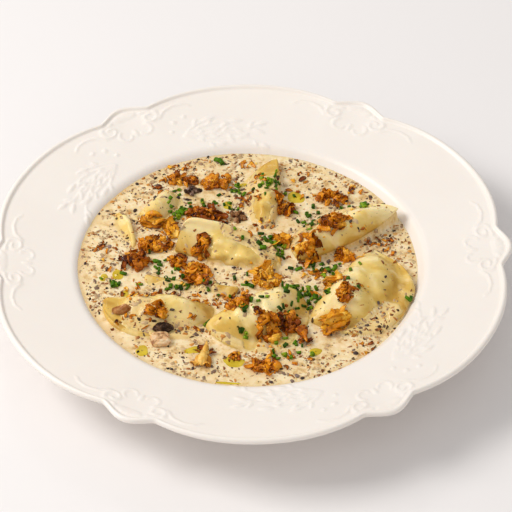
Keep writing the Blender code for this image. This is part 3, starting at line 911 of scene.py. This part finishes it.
def make_sauce(sauce, dough, material):
    """The pool of sauce, which climbs a little where it meets the wall and is closed out of sight."""
    angle = circle(SAUCE_COLUMNS)
    edge = np.full(SAUCE_COLUMNS, wall_radius(SAUCE_LEVEL))
    for _ in range(4):
        edge = wall_radius(sauce_level(*polar(edge, angle)) + MENISCUS) + WALL_OVERLAP
    radius = edge * (np.arange(1, SAUCE_ROWS + 1) / SAUCE_ROWS)[:, None]
    x, y = polar(radius, angle)
    climb = smoothstep(edge - CLIMB_WIDTH, edge, radius)
    z = look_up(sauce, x, y) * (1 - climb) + (sauce_level(x, y) + MENISCUS * climb) * climb
    grid = [*np.stack([x, y, z], -1)]
    for depth, inset in SAUCE_SKIRT:
        grid.append(np.stack([*polar(edge - inset, angle), z[-1] - depth], -1))
    ends = [[0, 0, float(look_up(sauce, 0.0, 0.0))], [0, 0, FLOOR_TOP + 6]]
    points, faces = closed(np.array(grid), ends)
    depth = points[:, 2] - look_up(dough, points[:, 0], points[:, 1])
    soak = 1 - smoothstep(0.2, 1.9, depth)
    add_mesh("sauce_surface", points, faces[:, ::-1], material, ["sauce"], soak)


def slope_frame(top, x, y):
    """A rotation that lays something flat on the food at a place."""
    step, steepest = 0.8, 1.2
    dx = float(look_up(top, x + step, y) - look_up(top, x - step, y)) / (2 * step)
    dy = float(look_up(top, x, y + step) - look_up(top, x, y - step)) / (2 * step)
    dx, dy = max(-steepest, min(steepest, dx)), max(-steepest, min(steepest, dy))
    normal = np.array([-dx, -dy, 1.0])
    normal /= np.linalg.norm(normal)
    side = np.array([1.0, 0, dx])
    side /= np.linalg.norm(side)
    return np.stack([side, np.cross(normal, side), normal], -1)


# Small things


def chips(pile, rng, top, x, y, length, aspect, thick, sunk, sides=7):
    """Flat ragged flecks, each lying on the food."""
    k = np.arange(sides)
    n = (k + 1) % sides
    faces = np.concatenate([
        np.stack([0 * k, 1 + k, 1 + n], -1),
        np.stack([1 + k, 1 + sides + k, 1 + sides + n], -1),
        np.stack([1 + k, 1 + sides + n, 1 + n], -1)])
    for i in range(len(x)):
        lay = slope_frame(top, x[i], y[i]) @ tumbled(rng, 0.15, 0.15)
        angle = (k + rng.uniform(-0.3, 0.3, sides)) * 2 * np.pi / sides
        ragged = rng.uniform(0.7, 1.15, (sides, 1))
        ring = np.stack([np.cos(angle), np.sin(angle)], -1) * ragged * length[i] / 2 / [1, aspect[i]]
        upper = np.column_stack([ring * 0.78, np.full(sides, thick[i])])
        lower = np.column_stack([ring, np.full(sides, -0.15)])
        verts = np.concatenate([[[0, 0, thick[i] * 1.15]], upper, lower]) - [0, 0, sunk * thick[i]]
        pile.lay(verts @ lay.T, faces, top, x[i], y[i])


def flake(rng, length, width, cup, bend, twist, thick=0.4, rows=12, cols=8, fray=0.16):
    """A curled flake of fried onion around the origin, ribbed along its length."""
    seed = int(rng.integers(1000))
    s, v = np.linspace(-0.5, 0.5, rows), np.linspace(-0.5, 0.5, cols)
    heading = bend * s + 0.5 * np.sin(s * rng.uniform(4, 8) + rng.uniform(0, 6))
    step = length / (rows - 1)
    path = np.stack([np.cumsum(step * np.cos(heading)), 0 * s, np.cumsum(step * np.sin(heading))], -1)
    path -= path.mean(0)
    taper = np.clip(1 - np.abs(1.9 * s) ** 3, 0.2, 1) ** 0.6 * (1 + 0.28 * noise(s * 6, 0, 0, seed))
    span = width * taper[:, None]
    angle = cup * v * (1 + 0.25 * noise(s * 4, 3.0, 0, seed))[:, None]
    across, rise = span / cup * np.sin(angle), span / cup * (1 - np.cos(angle))
    rise = rise + 0.24 * noise(s[:, None] * length / 2.4, v * width / 0.7, 0, seed + 1)
    ahead = np.stack([np.cos(heading), 0 * s, np.sin(heading)], -1)
    up = np.stack([-np.sin(heading), 0 * s, np.cos(heading)], -1)
    side = np.array([0, 1.0, 0])
    roll = (twist * s)[:, None]
    side, up = np.cos(roll) * side + np.sin(roll) * up, np.cos(roll) * up - np.sin(roll) * side
    ragged = fray * length * noise(v * 5, 7.0, 0, seed) * (np.abs(2 * s)[:, None] ** 4)
    points = path[:, None]
    for amount, way in ((across, side), (rise, up), (ragged, ahead)):
        points = points + amount[..., None] * way[:, None]
    verts = np.stack([points + up[:, None] * thick / 2, points - up[:, None] * thick / 2])
    return verts.reshape(-1, 3), sheet_faces(rows, cols)


def squared(value, power):
    return np.sign(value) * np.abs(value) ** power


def ball(rows, cols, side=1, plan=1, rise=1):
    """A ball's grid of points; powers under 1 make its side, its plan and its height squarish."""
    lat, lon = np.pi * (np.arange(rows) / (rows - 1) - 0.5)[:, None], circle(cols)
    across = squared(np.cos(lat), side)
    x, y = across * squared(np.cos(lon), plan), across * squared(np.sin(lon), plan)
    return x, y, squared(np.sin(lat), rise) + 0 * lon


def lump(x, y, z, length, width, height):
    """Points and faces of a ball whose sides are stretched to the sizes asked."""
    verts = np.stack([x * length / 2, y * width / 2, z * height], -1)
    return verts.reshape(-1, 3), grid_faces(*x.shape)


def crumb(rng, length, width, height, rows=16, cols=22):
    """A knobbly lump of fried crumbs, standing on z = 0."""
    seed = int(rng.integers(1000))
    x, y, z = ball(rows, cols)
    size = max(length, width) / 4.5
    knobs = np.abs(noise(x * 1.6 * size, y * 2.4 * size, z * 1.9 * size, seed))
    knobs = knobs + 0.4 * np.abs(noise(x * 3.0 * size, y * 4.6 * size, z * 3.6 * size, seed + 1))
    swell = 0.72 + 0.38 * fbm(x * 1.4, y * 1.4, z * 1.4, seed + 2) + 0.42 * knobs
    return lump(x * swell, y * swell, z * swell * 0.7 + 0.3, length, width, height)


def blob(rng, length, width, height, rows, cols, rough, scale=2.2):
    """A rounded piece with an uneven skin and a flattened underside, standing on z = 0."""
    seed = int(rng.integers(1000))
    flat = 0.5
    x, y, z = ball(rows, cols)
    swell = 1 + rough * fbm(x * scale + 9, y * scale, z * scale, seed)
    z = np.where(z < 0, z * flat, z)
    return lump(x * swell, y * swell, (z * swell + flat) / (1 + flat), length, width, height)


def slab(rng, length, width, height):
    """A squarish chunk with grooves across its top, standing on z = 0."""
    seed = int(rng.integers(1000))
    x, y, z = ball(30, 48, 0.55, 0.6, 0.7)
    swell = 1 + 0.12 * fbm(x * 1.6, y * 1.6, z * 1.6, seed)
    groove = 0.10 * np.sin(y * 11 + 3 * x + 2 * noise(x * 1.5, y * 1.5, 0, seed + 1)) * np.clip(z, 0, 1)
    return lump(x * swell, y * swell, z * swell * 0.5 + 0.5 + groove, length, width, height)


def crisp_cluster(number, place, top, material):
    """Crumbly lumps with curled flakes stuck in them, lying on the food."""
    x, y, length, width, height, yaw, brown = place
    rng = np.random.default_rng(CLUSTER_SEED + number)
    pile = Pile()
    turn = math.radians(yaw)
    area = length * width
    long, wide = max(length, width), min(length, width)

    def put(verts, faces, a, b, lift):
        pile.lay(verts, faces, top, *beside(x, y, a, b, turn), lift)

    def scatter(reach):
        rho, angle = reach * math.sqrt(rng.uniform(0, 1)), rng.uniform(0, 2 * math.pi)
        return rho * math.cos(angle), rho * math.sin(angle)

    curled = brown < CURLED_BELOW
    for _ in range(1 if curled else 2 + int(round(area / LUMP_AREA))):
        a, b = scatter(0.88)
        size = rng.uniform(3.4, 6.0)
        verts, faces = crumb(
            rng, size * rng.uniform(1.0, 1.5), size * rng.uniform(0.7, 1.0), min(height * 0.8, size * 0.8))
        put(verts @ tumbled(rng, 0.12, 0.12).T, faces, a * length / 2, b * width / 2, -0.7)
    for i in range(5 if curled else 0):
        verts, faces = flake(
            rng, long * rng.uniform(0.75, 1.0), wide * rng.uniform(0.42, 0.62),
            rng.uniform(1.6, 2.6), rng.normal(0, 0.6), rng.normal(0, 0.4), 0.5, 20, 12)
        way = (math.pi / 2 if width > length else 0.0) + rng.normal(0, 0.22)
        pitch, roll = rng.normal(0, 0.08), math.pi * (i % 3 > 0) + rng.normal(0, 0.4)
        verts = verts @ rotation(way + turn, pitch, roll).T
        off = wide * (0.17 * (i - 2))
        sideways = (off, 0.0) if width > length else (0.0, off)
        put(verts, faces, *sideways, -verts[:, 2].min() * 0.7 + 0.35 * (2 - abs(i - 2)))
    for _ in range(int(round(3 + area / CURLED_FLAKE_AREA if curled else 6 + area / FLAKE_AREA))):
        a, b = scatter(1.02)
        size = rng.uniform(3.2, 8.2)
        verts, faces = flake(
            rng, size, min(size * 0.70, rng.uniform(2.4, 5.2)),
            rng.uniform(0.7, 2.6), rng.uniform(1.2, 4.2) * rng.choice((-1, 1)), rng.normal(0, 1.2))
        lay = slope_frame(top, x + a * length / 2, y + b * width / 2)
        verts = verts @ (lay @ tumbled(rng, 0.25, 0.9)).T
        lift = 0.1 + max(height - 2.6, 0.8) * max(1 - a * a - b * b, 0.0) * rng.uniform(0.2, 1.0)
        put(verts, faces, a * length / 2, b * width / 2, max(lift, -verts[:, 2].min() * 0.55))
    for _ in range(int(round(area / CRUMB_AREA))):
        a, b = scatter(1.5)
        size = rng.uniform(0.8, 1.8)
        verts, faces = crumb(rng, size * 1.3, size, size * 0.8, 9, 12)
        put(verts @ rotation(any_heading(rng)).T, faces, a * length / 2, b * width / 2, -0.2)
    pile.mesh(f"crisps_{number:02d}", material, "fried_onion", [f"fried_onion_{number:02d}"])


def make_loose_crisps(top, materials):
    rng = np.random.default_rng(LOOSE_SEED)
    piles = [Pile() for _ in materials]
    for x, y, sx, sy, count in LOOSE_CRISPS:
        for _ in range(CRISPS_PER_COUNT * count):
            px, py = x + rng.uniform(-1.2 * sx, 1.2 * sx), y + rng.uniform(-1.2 * sy, 1.2 * sy)
            if rng.uniform() < LOOSE_CRUMB_SHARE:
                size = rng.uniform(0.9, 2.0)
                verts, faces = crumb(rng, size * 1.5, size, size * 0.8, 10, 14)
                lay, lift = rotation(any_heading(rng)), -0.2
            else:
                size = rng.uniform(2.2, 5.6)
                verts, faces = flake(
                    rng, size, min(size * 0.6, rng.uniform(0.9, 2.4)), rng.uniform(0.6, 2.4),
                    rng.uniform(0.6, 2.6) * rng.choice((-1, 1)), rng.normal(0, 0.8), 0.35, 10, 6)
                lay, lift = slope_frame(top, px, py) @ tumbled(rng, 0.12, 0.35), 0.3
            piles[rng.integers(len(piles))].lay(verts @ lay.T, faces, top, px, py, lift)
    for i, (pile, material) in enumerate(zip(piles, materials), 1):
        pile.mesh(f"loose_crisps_{i}", material, "fried_onion")


def make_chives(top, material):
    """Cut rings of chive: short tubes, slanted at the cut, that mostly lie on their side."""
    rng = np.random.default_rng(CHIVE_SEED)
    pile = Pile()
    sides = 12
    faces = grid_faces(5, sides)[:, ::-1] % (4 * sides)
    angle = circle(sides)
    for x, y, sx, sy, count, size in CHIVES:
        for _ in range(int(round(count * CHIVES_PER_COUNT))):
            px, py = x + rng.normal(0, 0.85 * sx), y + rng.normal(0, 0.85 * sy)
            outer = rng.uniform(0.60, 1.10) * (1.0 if size < LARGE_CHIVE else 1.35)
            inner = outer * rng.uniform(0.45, 0.68)
            long = rng.uniform(1.2, 3.0) * size
            squash = rng.uniform(0.62, 1.0)
            shift = rng.uniform(-0.5, 0.5) * outer
            rings = []
            for radius, end in ((outer, 0), (outer, 1), (inner, 1), (inner, 0)):
                slant = (end - 0.5) * long + shift * np.cos(angle) * radius / outer * (1 if end else -1) * 0.6
                rings.append(np.stack([slant, radius * np.cos(angle), radius * squash * np.sin(angle)], -1))
            upright = size < LARGE_CHIVE and rng.uniform() < UPRIGHT_CHIVE_SHARE
            pitch = math.pi / 2 + rng.normal(0, 0.2) if upright else rng.normal(0, 0.22)
            lay = slope_frame(top, px, py) @ rotation(any_heading(rng), pitch, rng.uniform(-0.3, 0.3))
            lift = long * 0.42 if upright else outer * squash * 0.75
            pile.lay(np.concatenate(rings) @ lay.T, faces, top, px, py, lift)
    pile.mesh("chive_rings", material)


# Kinds of flecks: name, how many at most, lengths, how much longer than wide, how far sunk, and tones
FLECKS = (
    ("flecks_black", 470, (0.7, 3.2), (1.1, 2.6), 0.3,
     ((0.020, 0.010, 0.004), (0.062, 0.032, 0.013), (0.200, 0.110, 0.045))),
    ("flecks_grey", 480, (1.1, 4.6), (1.1, 2.4), 0.78,
     ((0.080, 0.048, 0.034), (0.200, 0.125, 0.085), (0.420, 0.285, 0.180))),
    ("flecks_brown", 950, (0.9, 4.0), (1.3, 3.6), 0.6,
     ((0.150, 0.045, 0.012), (0.380, 0.140, 0.040), (0.600, 0.300, 0.100))),
    ("flecks_golden", 620, (1.0, 4.2), (1.2, 3.2), 0.7,
     ((0.420, 0.150, 0.022), (0.640, 0.270, 0.055), (0.780, 0.440, 0.150))),
    ("flecks_veiled", 1400, (1.4, 5.2), (1.0, 2.6), 0.93,
     ((0.360, 0.220, 0.125), (0.540, 0.360, 0.190), (0.700, 0.500, 0.280))),
)
FLECK_STOPS = (0.15, 0.50, 0.85)
# Flecks crowd in some places and keep away from others
FLECK_PATCHES = (
    (68, -38, 12, 12, 1.1), (63, 14, 14, 8, 0.8), (45, -72, 22, 9, 0.5), (-55, 55, 16, 14, 0.4),
    (33, 33, 16, 12, 1.0), (28, -8, 16, 6, 0.6), (-40, -70, 16, 8, -0.4), (4, 12, 14, 6, 0.6),
    (-75, 0, 8, 20, 0.3), (-44, -42, 12, 6, 0.3),
)
FLECKED_RADIUS = 87.2
BARE_DOUGH_FLECKS = 0.14  # how crowded bare dough is, as a share of the sauce


def make_flecks(top, bare):
    """Mushroom and onion flecks that float in the sauce, thinner on bare dough."""
    for number, (name, count, (shortest, longest), aspect, sunk, tones) in enumerate(FLECKS):
        rng = np.random.default_rng(FLECK_SEED + number)
        radius = FLECKED_RADIUS * np.sqrt(rng.uniform(0, 1, count * 2))
        angle = rng.uniform(0, 2 * np.pi, count * 2)
        x, y = polar(radius, angle)
        x = x - 0.8
        crowd = 0.40 + 1.35 * fbm(x / 8, y / 8, 0, 301) + 0.6 * fbm(x / 3, y / 3, 0, 307 + number)
        crowd = add_patches(crowd + 0.22 * smoothstep(55, 82, radius), FLECK_PATCHES, x, y)
        crowd = crowd * np.where(look_up(bare, x, y) > 0.5, BARE_DOUGH_FLECKS, 1.0)
        keep = rng.uniform(0, 1, len(x)) < crowd
        x, y = x[keep][:count], y[keep][:count]
        length = shortest + (longest - shortest) * rng.uniform(0, 1, len(x)) ** 2.0
        slimness, thick = rng.uniform(*aspect, len(x)), rng.uniform(0.22, 0.5, len(x))
        pile = Pile()
        chips(pile, rng, top, x, y, length, slimness, thick, sunk)
        material = tone_look(name, tuple(zip(FLECK_STOPS, tones)), (0.25, 0.5))
        pile.mesh(name, material, "fried_onion" if name == "flecks_golden" else "mushroom")


def make_dark_pieces(top):
    rng = np.random.default_rng(SKIN_SEED)
    pile = Pile()
    x, y, length, aspect = np.array(DARK_PIECES).T
    chips(pile, rng, top, x, y, length, aspect, np.full(len(x), 0.9), 0.15, sides=11)
    pile.mesh("dark_mushroom_skin", tone_look("mushroom_skin", SKIN_TONES, (0.10, 0.30)), "mushroom")


def heap_of_slices(pile, rng, top, x, y, length, width, height, yaw):
    """Lumps with curled slices of mushroom over them."""
    for _ in range(4):
        size = rng.uniform(0.26, 0.42) * max(length, width)
        verts, faces = blob(
            rng, size * rng.uniform(1.3, 2.2), size, size * rng.uniform(0.6, 0.9), 24, 34, 0.6, 2.4)
        px, py = x + rng.uniform(-0.3, 0.3) * length, y + rng.uniform(-0.3, 0.3) * width
        pile.settle(verts, faces, top, px, py, rng.uniform(0, 360), -0.6)
    for _ in range(5):
        long = rng.uniform(0.40, 0.70) * length
        verts, faces = flake(
            rng, long, rng.uniform(0.5, 0.8) * long, rng.uniform(1.6, 2.8),
            rng.uniform(0.8, 2.2) * rng.choice((-1, 1)), rng.normal(0, 0.5), rng.uniform(0.7, 1.1), 20, 14)
        heading, pitch = math.radians(yaw) + rng.normal(0, 0.7), rng.normal(0, 0.2)
        verts = verts @ rotation(heading, pitch, math.pi + rng.normal(0, 0.6)).T
        verts[:, 2] = np.clip(verts[:, 2] - verts[:, 2].min(), 0, height)
        px, py = x + rng.uniform(-0.24, 0.24) * length, y + rng.uniform(-0.24, 0.24) * width
        pile.settle(verts, faces, top, px, py, 0.0, -0.5)


def make_mushrooms(top):
    for number, (place, kind) in enumerate(zip(MUSHROOMS, MUSHROOM_TONES), 1):
        x, y, length, width, height, yaw = place
        rng = np.random.default_rng(MUSHROOM_SEED + number)
        pile = Pile()
        material = tone_look(f"mushroom_{kind}", MUSHROOM_TONES[kind], (0.08, 0.26), 300, 0.30, 0.0005, 0.15)
        if kind == "tan":
            verts, faces = blob(rng, length, width, height, 34, 52, 0.10)
            middle = np.exp(-((verts[:, 1] - 0.3) / 0.7) ** 2) * (verts[:, 2] > height * 0.4)
            verts[:, 2] -= 0.55 * middle * np.clip(1 - (2 * verts[:, 0] / length) ** 2, 0, 1)
            pile.settle(verts, faces, top, x, y, yaw, -0.4)
        elif kind == "dark":
            wide = width * 1.25
            verts, faces = blob(rng, length, wide, height, 40, 56, 0.12)
            reach = np.hypot(verts[:, 0] / length, verts[:, 1] / wide) * 2
            verts[:, 2] += 0.60 * np.cos(reach * 12) * (verts[:, 2] > height * 0.45)
            pile.settle(verts, faces, top, x, y, yaw, -0.5)
        elif kind == "pale":
            pile.settle(*slab(rng, length, width, height), top, x, y, yaw, -0.5)
        else:
            heap_of_slices(pile, rng, top, *place)
        pile.mesh(f"mushroom_piece_{number:02d}", material, "mushroom", [f"mushroom_{number:02d}"])


# Leaves of a petal: the side it lies on, its length as a share of the petal's, and how far it is raised
PETAL_LEAVES = ((-1, 0.62, 0.0), (1, 0.62, 0.0), (-0.5, 0.82, 0.8), (0.5, 0.78, 0.9), (0, 0.96, 1.5))


def make_petals(top):
    """Onion petals of five leaves laid over one another, each with a few crisps at its tip."""
    looks = crisp_look("onion_petal", PETAL_TONES), crisp_look("onion_petal_brown", DARK_TONES)
    dark = crisp_look("petal_tip", DARK_TONES)
    for number, (x, y, length, width, height, yaw) in enumerate(ONION_PETALS, 1):
        rng = np.random.default_rng(PETAL_SEED + number)
        turn = math.radians(yaw) + math.pi / 2
        end = 1 if number == 1 else -1
        petal = Pile()
        for side, share, rise in PETAL_LEAVES:
            long = width * share
            bend = 0.5 * rng.choice((-1, 1))
            verts, faces = flake(rng, long, length * 0.46 * 1.12, 2.1, bend, 0.5 * side, 0.5, 28, 16, 0.04)
            verts[:, 1] *= 1 - 0.80 * np.clip(end * verts[:, 0] / long, -0.5, 0.5)
            verts = verts @ rotation(turn + 0.46 * side * end, 0.05, math.pi + 0.45 * side).T
            px, py = beside(x, y, -0.13 * width * abs(side) * end, -0.24 * length * side, turn)
            lift = min(rise + 1.3, height - 1.2) - (verts[:, 2].max() + verts[:, 2].min()) / 2
            petal.lay(verts, faces, top, px, py, lift)
        name = f"onion_petal_piece_{number:02d}"
        petal.mesh(name, looks[number - 1], "onion_petal", [f"onion_petal_{number:02d}"])
        tip = Pile()
        for i in range(7):
            verts, faces = flake(
                rng, rng.uniform(2.6, 4.2), rng.uniform(1.2, 2.2), rng.uniform(0.8, 2.2),
                rng.normal(0, 1.4), rng.normal(0, 0.8), 0.35, 10, 7)
            aside = (0.34 if i % 2 else -0.34) * length + rng.normal(0, 0.5)
            ahead = (0.24 + rng.uniform(-0.1, 0.1)) * width * end
            verts = verts @ tumbled(rng, 0.4, 0.4).T
            tip.lay(verts, faces, top, *beside(x, y, ahead, -aside, turn), rng.uniform(0.5, 1.6))
        tip.mesh(f"petal_tip_{number:02d}", dark, "fried_onion")


def make_oil(top):
    """Flat lenses of oil with wavy outlines."""
    pile = Pile()
    rng = np.random.default_rng(OIL_SEED)
    rows, cols = 9, 40
    faces = np.concatenate([grid_faces(rows, cols), fan_faces(cols, 0, rows * cols)])
    angle = circle(cols)
    share = (np.arange(1, rows + 1) / rows)[:, None]
    for x, y, length, width, yaw in OIL:
        phase = rng.uniform(0, 6.3, 3)
        wobble = 1 + 0.10 * np.sin(2 * angle + phase[0]) + 0.07 * np.sin(3 * angle + phase[1])
        wobble = wobble + 0.03 * np.sin(5 * angle + phase[2])
        a, b = length / 2 * share * wobble * np.cos(angle), width / 2 * share * wobble * np.sin(angle)
        px, py = beside(x, y, a, b, math.radians(yaw))
        pz = look_up(top, px, py) + 0.42 * np.sqrt(np.clip(1 - share**2, 0, 1)) - 0.06
        centre = [[x, y, float(look_up(top, x, y)) + 0.36]]
        pile.add(np.concatenate([np.stack([px, py, pz], -1).reshape(-1, 3), centre]), faces)
    pile.mesh("oil_drops", oil_look())


# Stage, in metres

FLOOR_HALF = 1.6


def make_stage():
    rows = 60
    line = np.linspace(-FLOOR_HALF, FLOOR_HALF, rows)
    verts = [(x, y, 0) for x in line for y in line]
    mesh = bpy.data.meshes.new("floor")
    mesh.from_pydata(verts, [], grid_faces(rows, rows, wrap=False)[:, ::-1].tolist())
    look = Look("paper_floor", Roughness=0.9, Specular_IOR_Level=0.1)
    look.base(look.noise(3, 2).ramp((0.3, (0.862, 0.836, 0.830)), (0.7, (0.872, 0.846, 0.840))))
    mesh.materials.append(look.material)
    add_object("floor", mesh)


def area_light(name, place, size, power, color):
    """A square lamp that looks at the plate's middle."""
    data = bpy.data.lights.new(name, "AREA")
    data.shape = "RECTANGLE"
    data.size = data.size_y = size
    data.energy = power
    data.color = color
    lamp = add_object(name, data)
    lamp.location = place
    lamp.rotation_euler = (-Vector(place)).to_track_quat("-Z", "Y").to_euler()


# Lamps: name, place and size in metres, power and colour
LAMPS = (
    ("window", (-1.30, 0.05, 1.30), 0.85, 22.8, (1.0, 0.98, 0.95)),
    ("fill", (0.35, -1.3, 1.5), 1.8, 4.0, (1.0, 0.98, 0.96)),
    ("sparkle", (-0.30, 1.15, 1.25), 0.16, 0.95, (1.0, 0.99, 0.97)),
)
WORLD_COLOR = (1.0, 0.985, 0.975, 1)
WORLD_STRENGTH = 0.53


def make_lights():
    for lamp in LAMPS:
        area_light(*lamp)
    world = bpy.data.worlds.new("studio")
    world.use_nodes = True
    background = world.node_tree.nodes["Background"]
    background.inputs["Color"].default_value = WORLD_COLOR
    background.inputs["Strength"].default_value = WORLD_STRENGTH
    bpy.context.scene.world = world


CAMERA_ELEVATION = math.radians(43.16)
CAMERA_DISTANCE = 1.62
CAMERA_TARGET = Vector((0.003, -0.0033, 0.036))
CAMERA_LENS, CAMERA_SENSOR = 222.25, 36


def make_camera():
    data = bpy.data.cameras.new("camera")
    data.sensor_width = CAMERA_SENSOR
    data.lens = CAMERA_LENS
    camera = add_object("camera", data)
    back = Vector((0, -math.cos(CAMERA_ELEVATION), math.sin(CAMERA_ELEVATION)))
    camera.location = CAMERA_TARGET + back * CAMERA_DISTANCE
    camera.rotation_euler = (-back).to_track_quat("-Z", "Y").to_euler()
    bpy.context.scene.camera = camera


def main():
    make_plate()
    dough = dumpling_heights()
    sauce = sauce_heights(dough)
    top = np.maximum(sauce, dough)
    bare = (dough > sauce + 0.05).astype(float)
    soft_top = blur(top, 0.5)
    make_dumplings(sauce, dough_look("boiled_dough"), dough_look("pale_dough", 0.26))
    make_sauce(sauce, dough, sauce_look())
    make_flecks(np.maximum(soft_top, top), bare)
    make_oil(soft_top)
    gold = crisp_look("crisp_gold", GOLD_TONES)
    brown = crisp_look("crisp_brown", BROWN_TONES)
    dark = crisp_look("crisp_dark", DARK_TONES)
    for number, place in enumerate(FRIED_ONIONS, 1):
        look = gold if place[-1] < BROWN_FROM else brown if place[-1] < DARK_FROM else dark
        crisp_cluster(number, place, soft_top, look)
    make_loose_crisps(soft_top, (brown, gold, brown, dark))
    make_petals(soft_top)
    make_dark_pieces(soft_top)
    make_mushrooms(soft_top)
    make_chives(soft_top, tone_look("chive_green", CHIVE_TONES, (0.22, 0.42), 600, 0.7, 0.0001, 0.15))
    make_stage()
    make_lights()
    make_camera()
    bpy.context.scene.view_settings.view_transform = "Standard"


main()
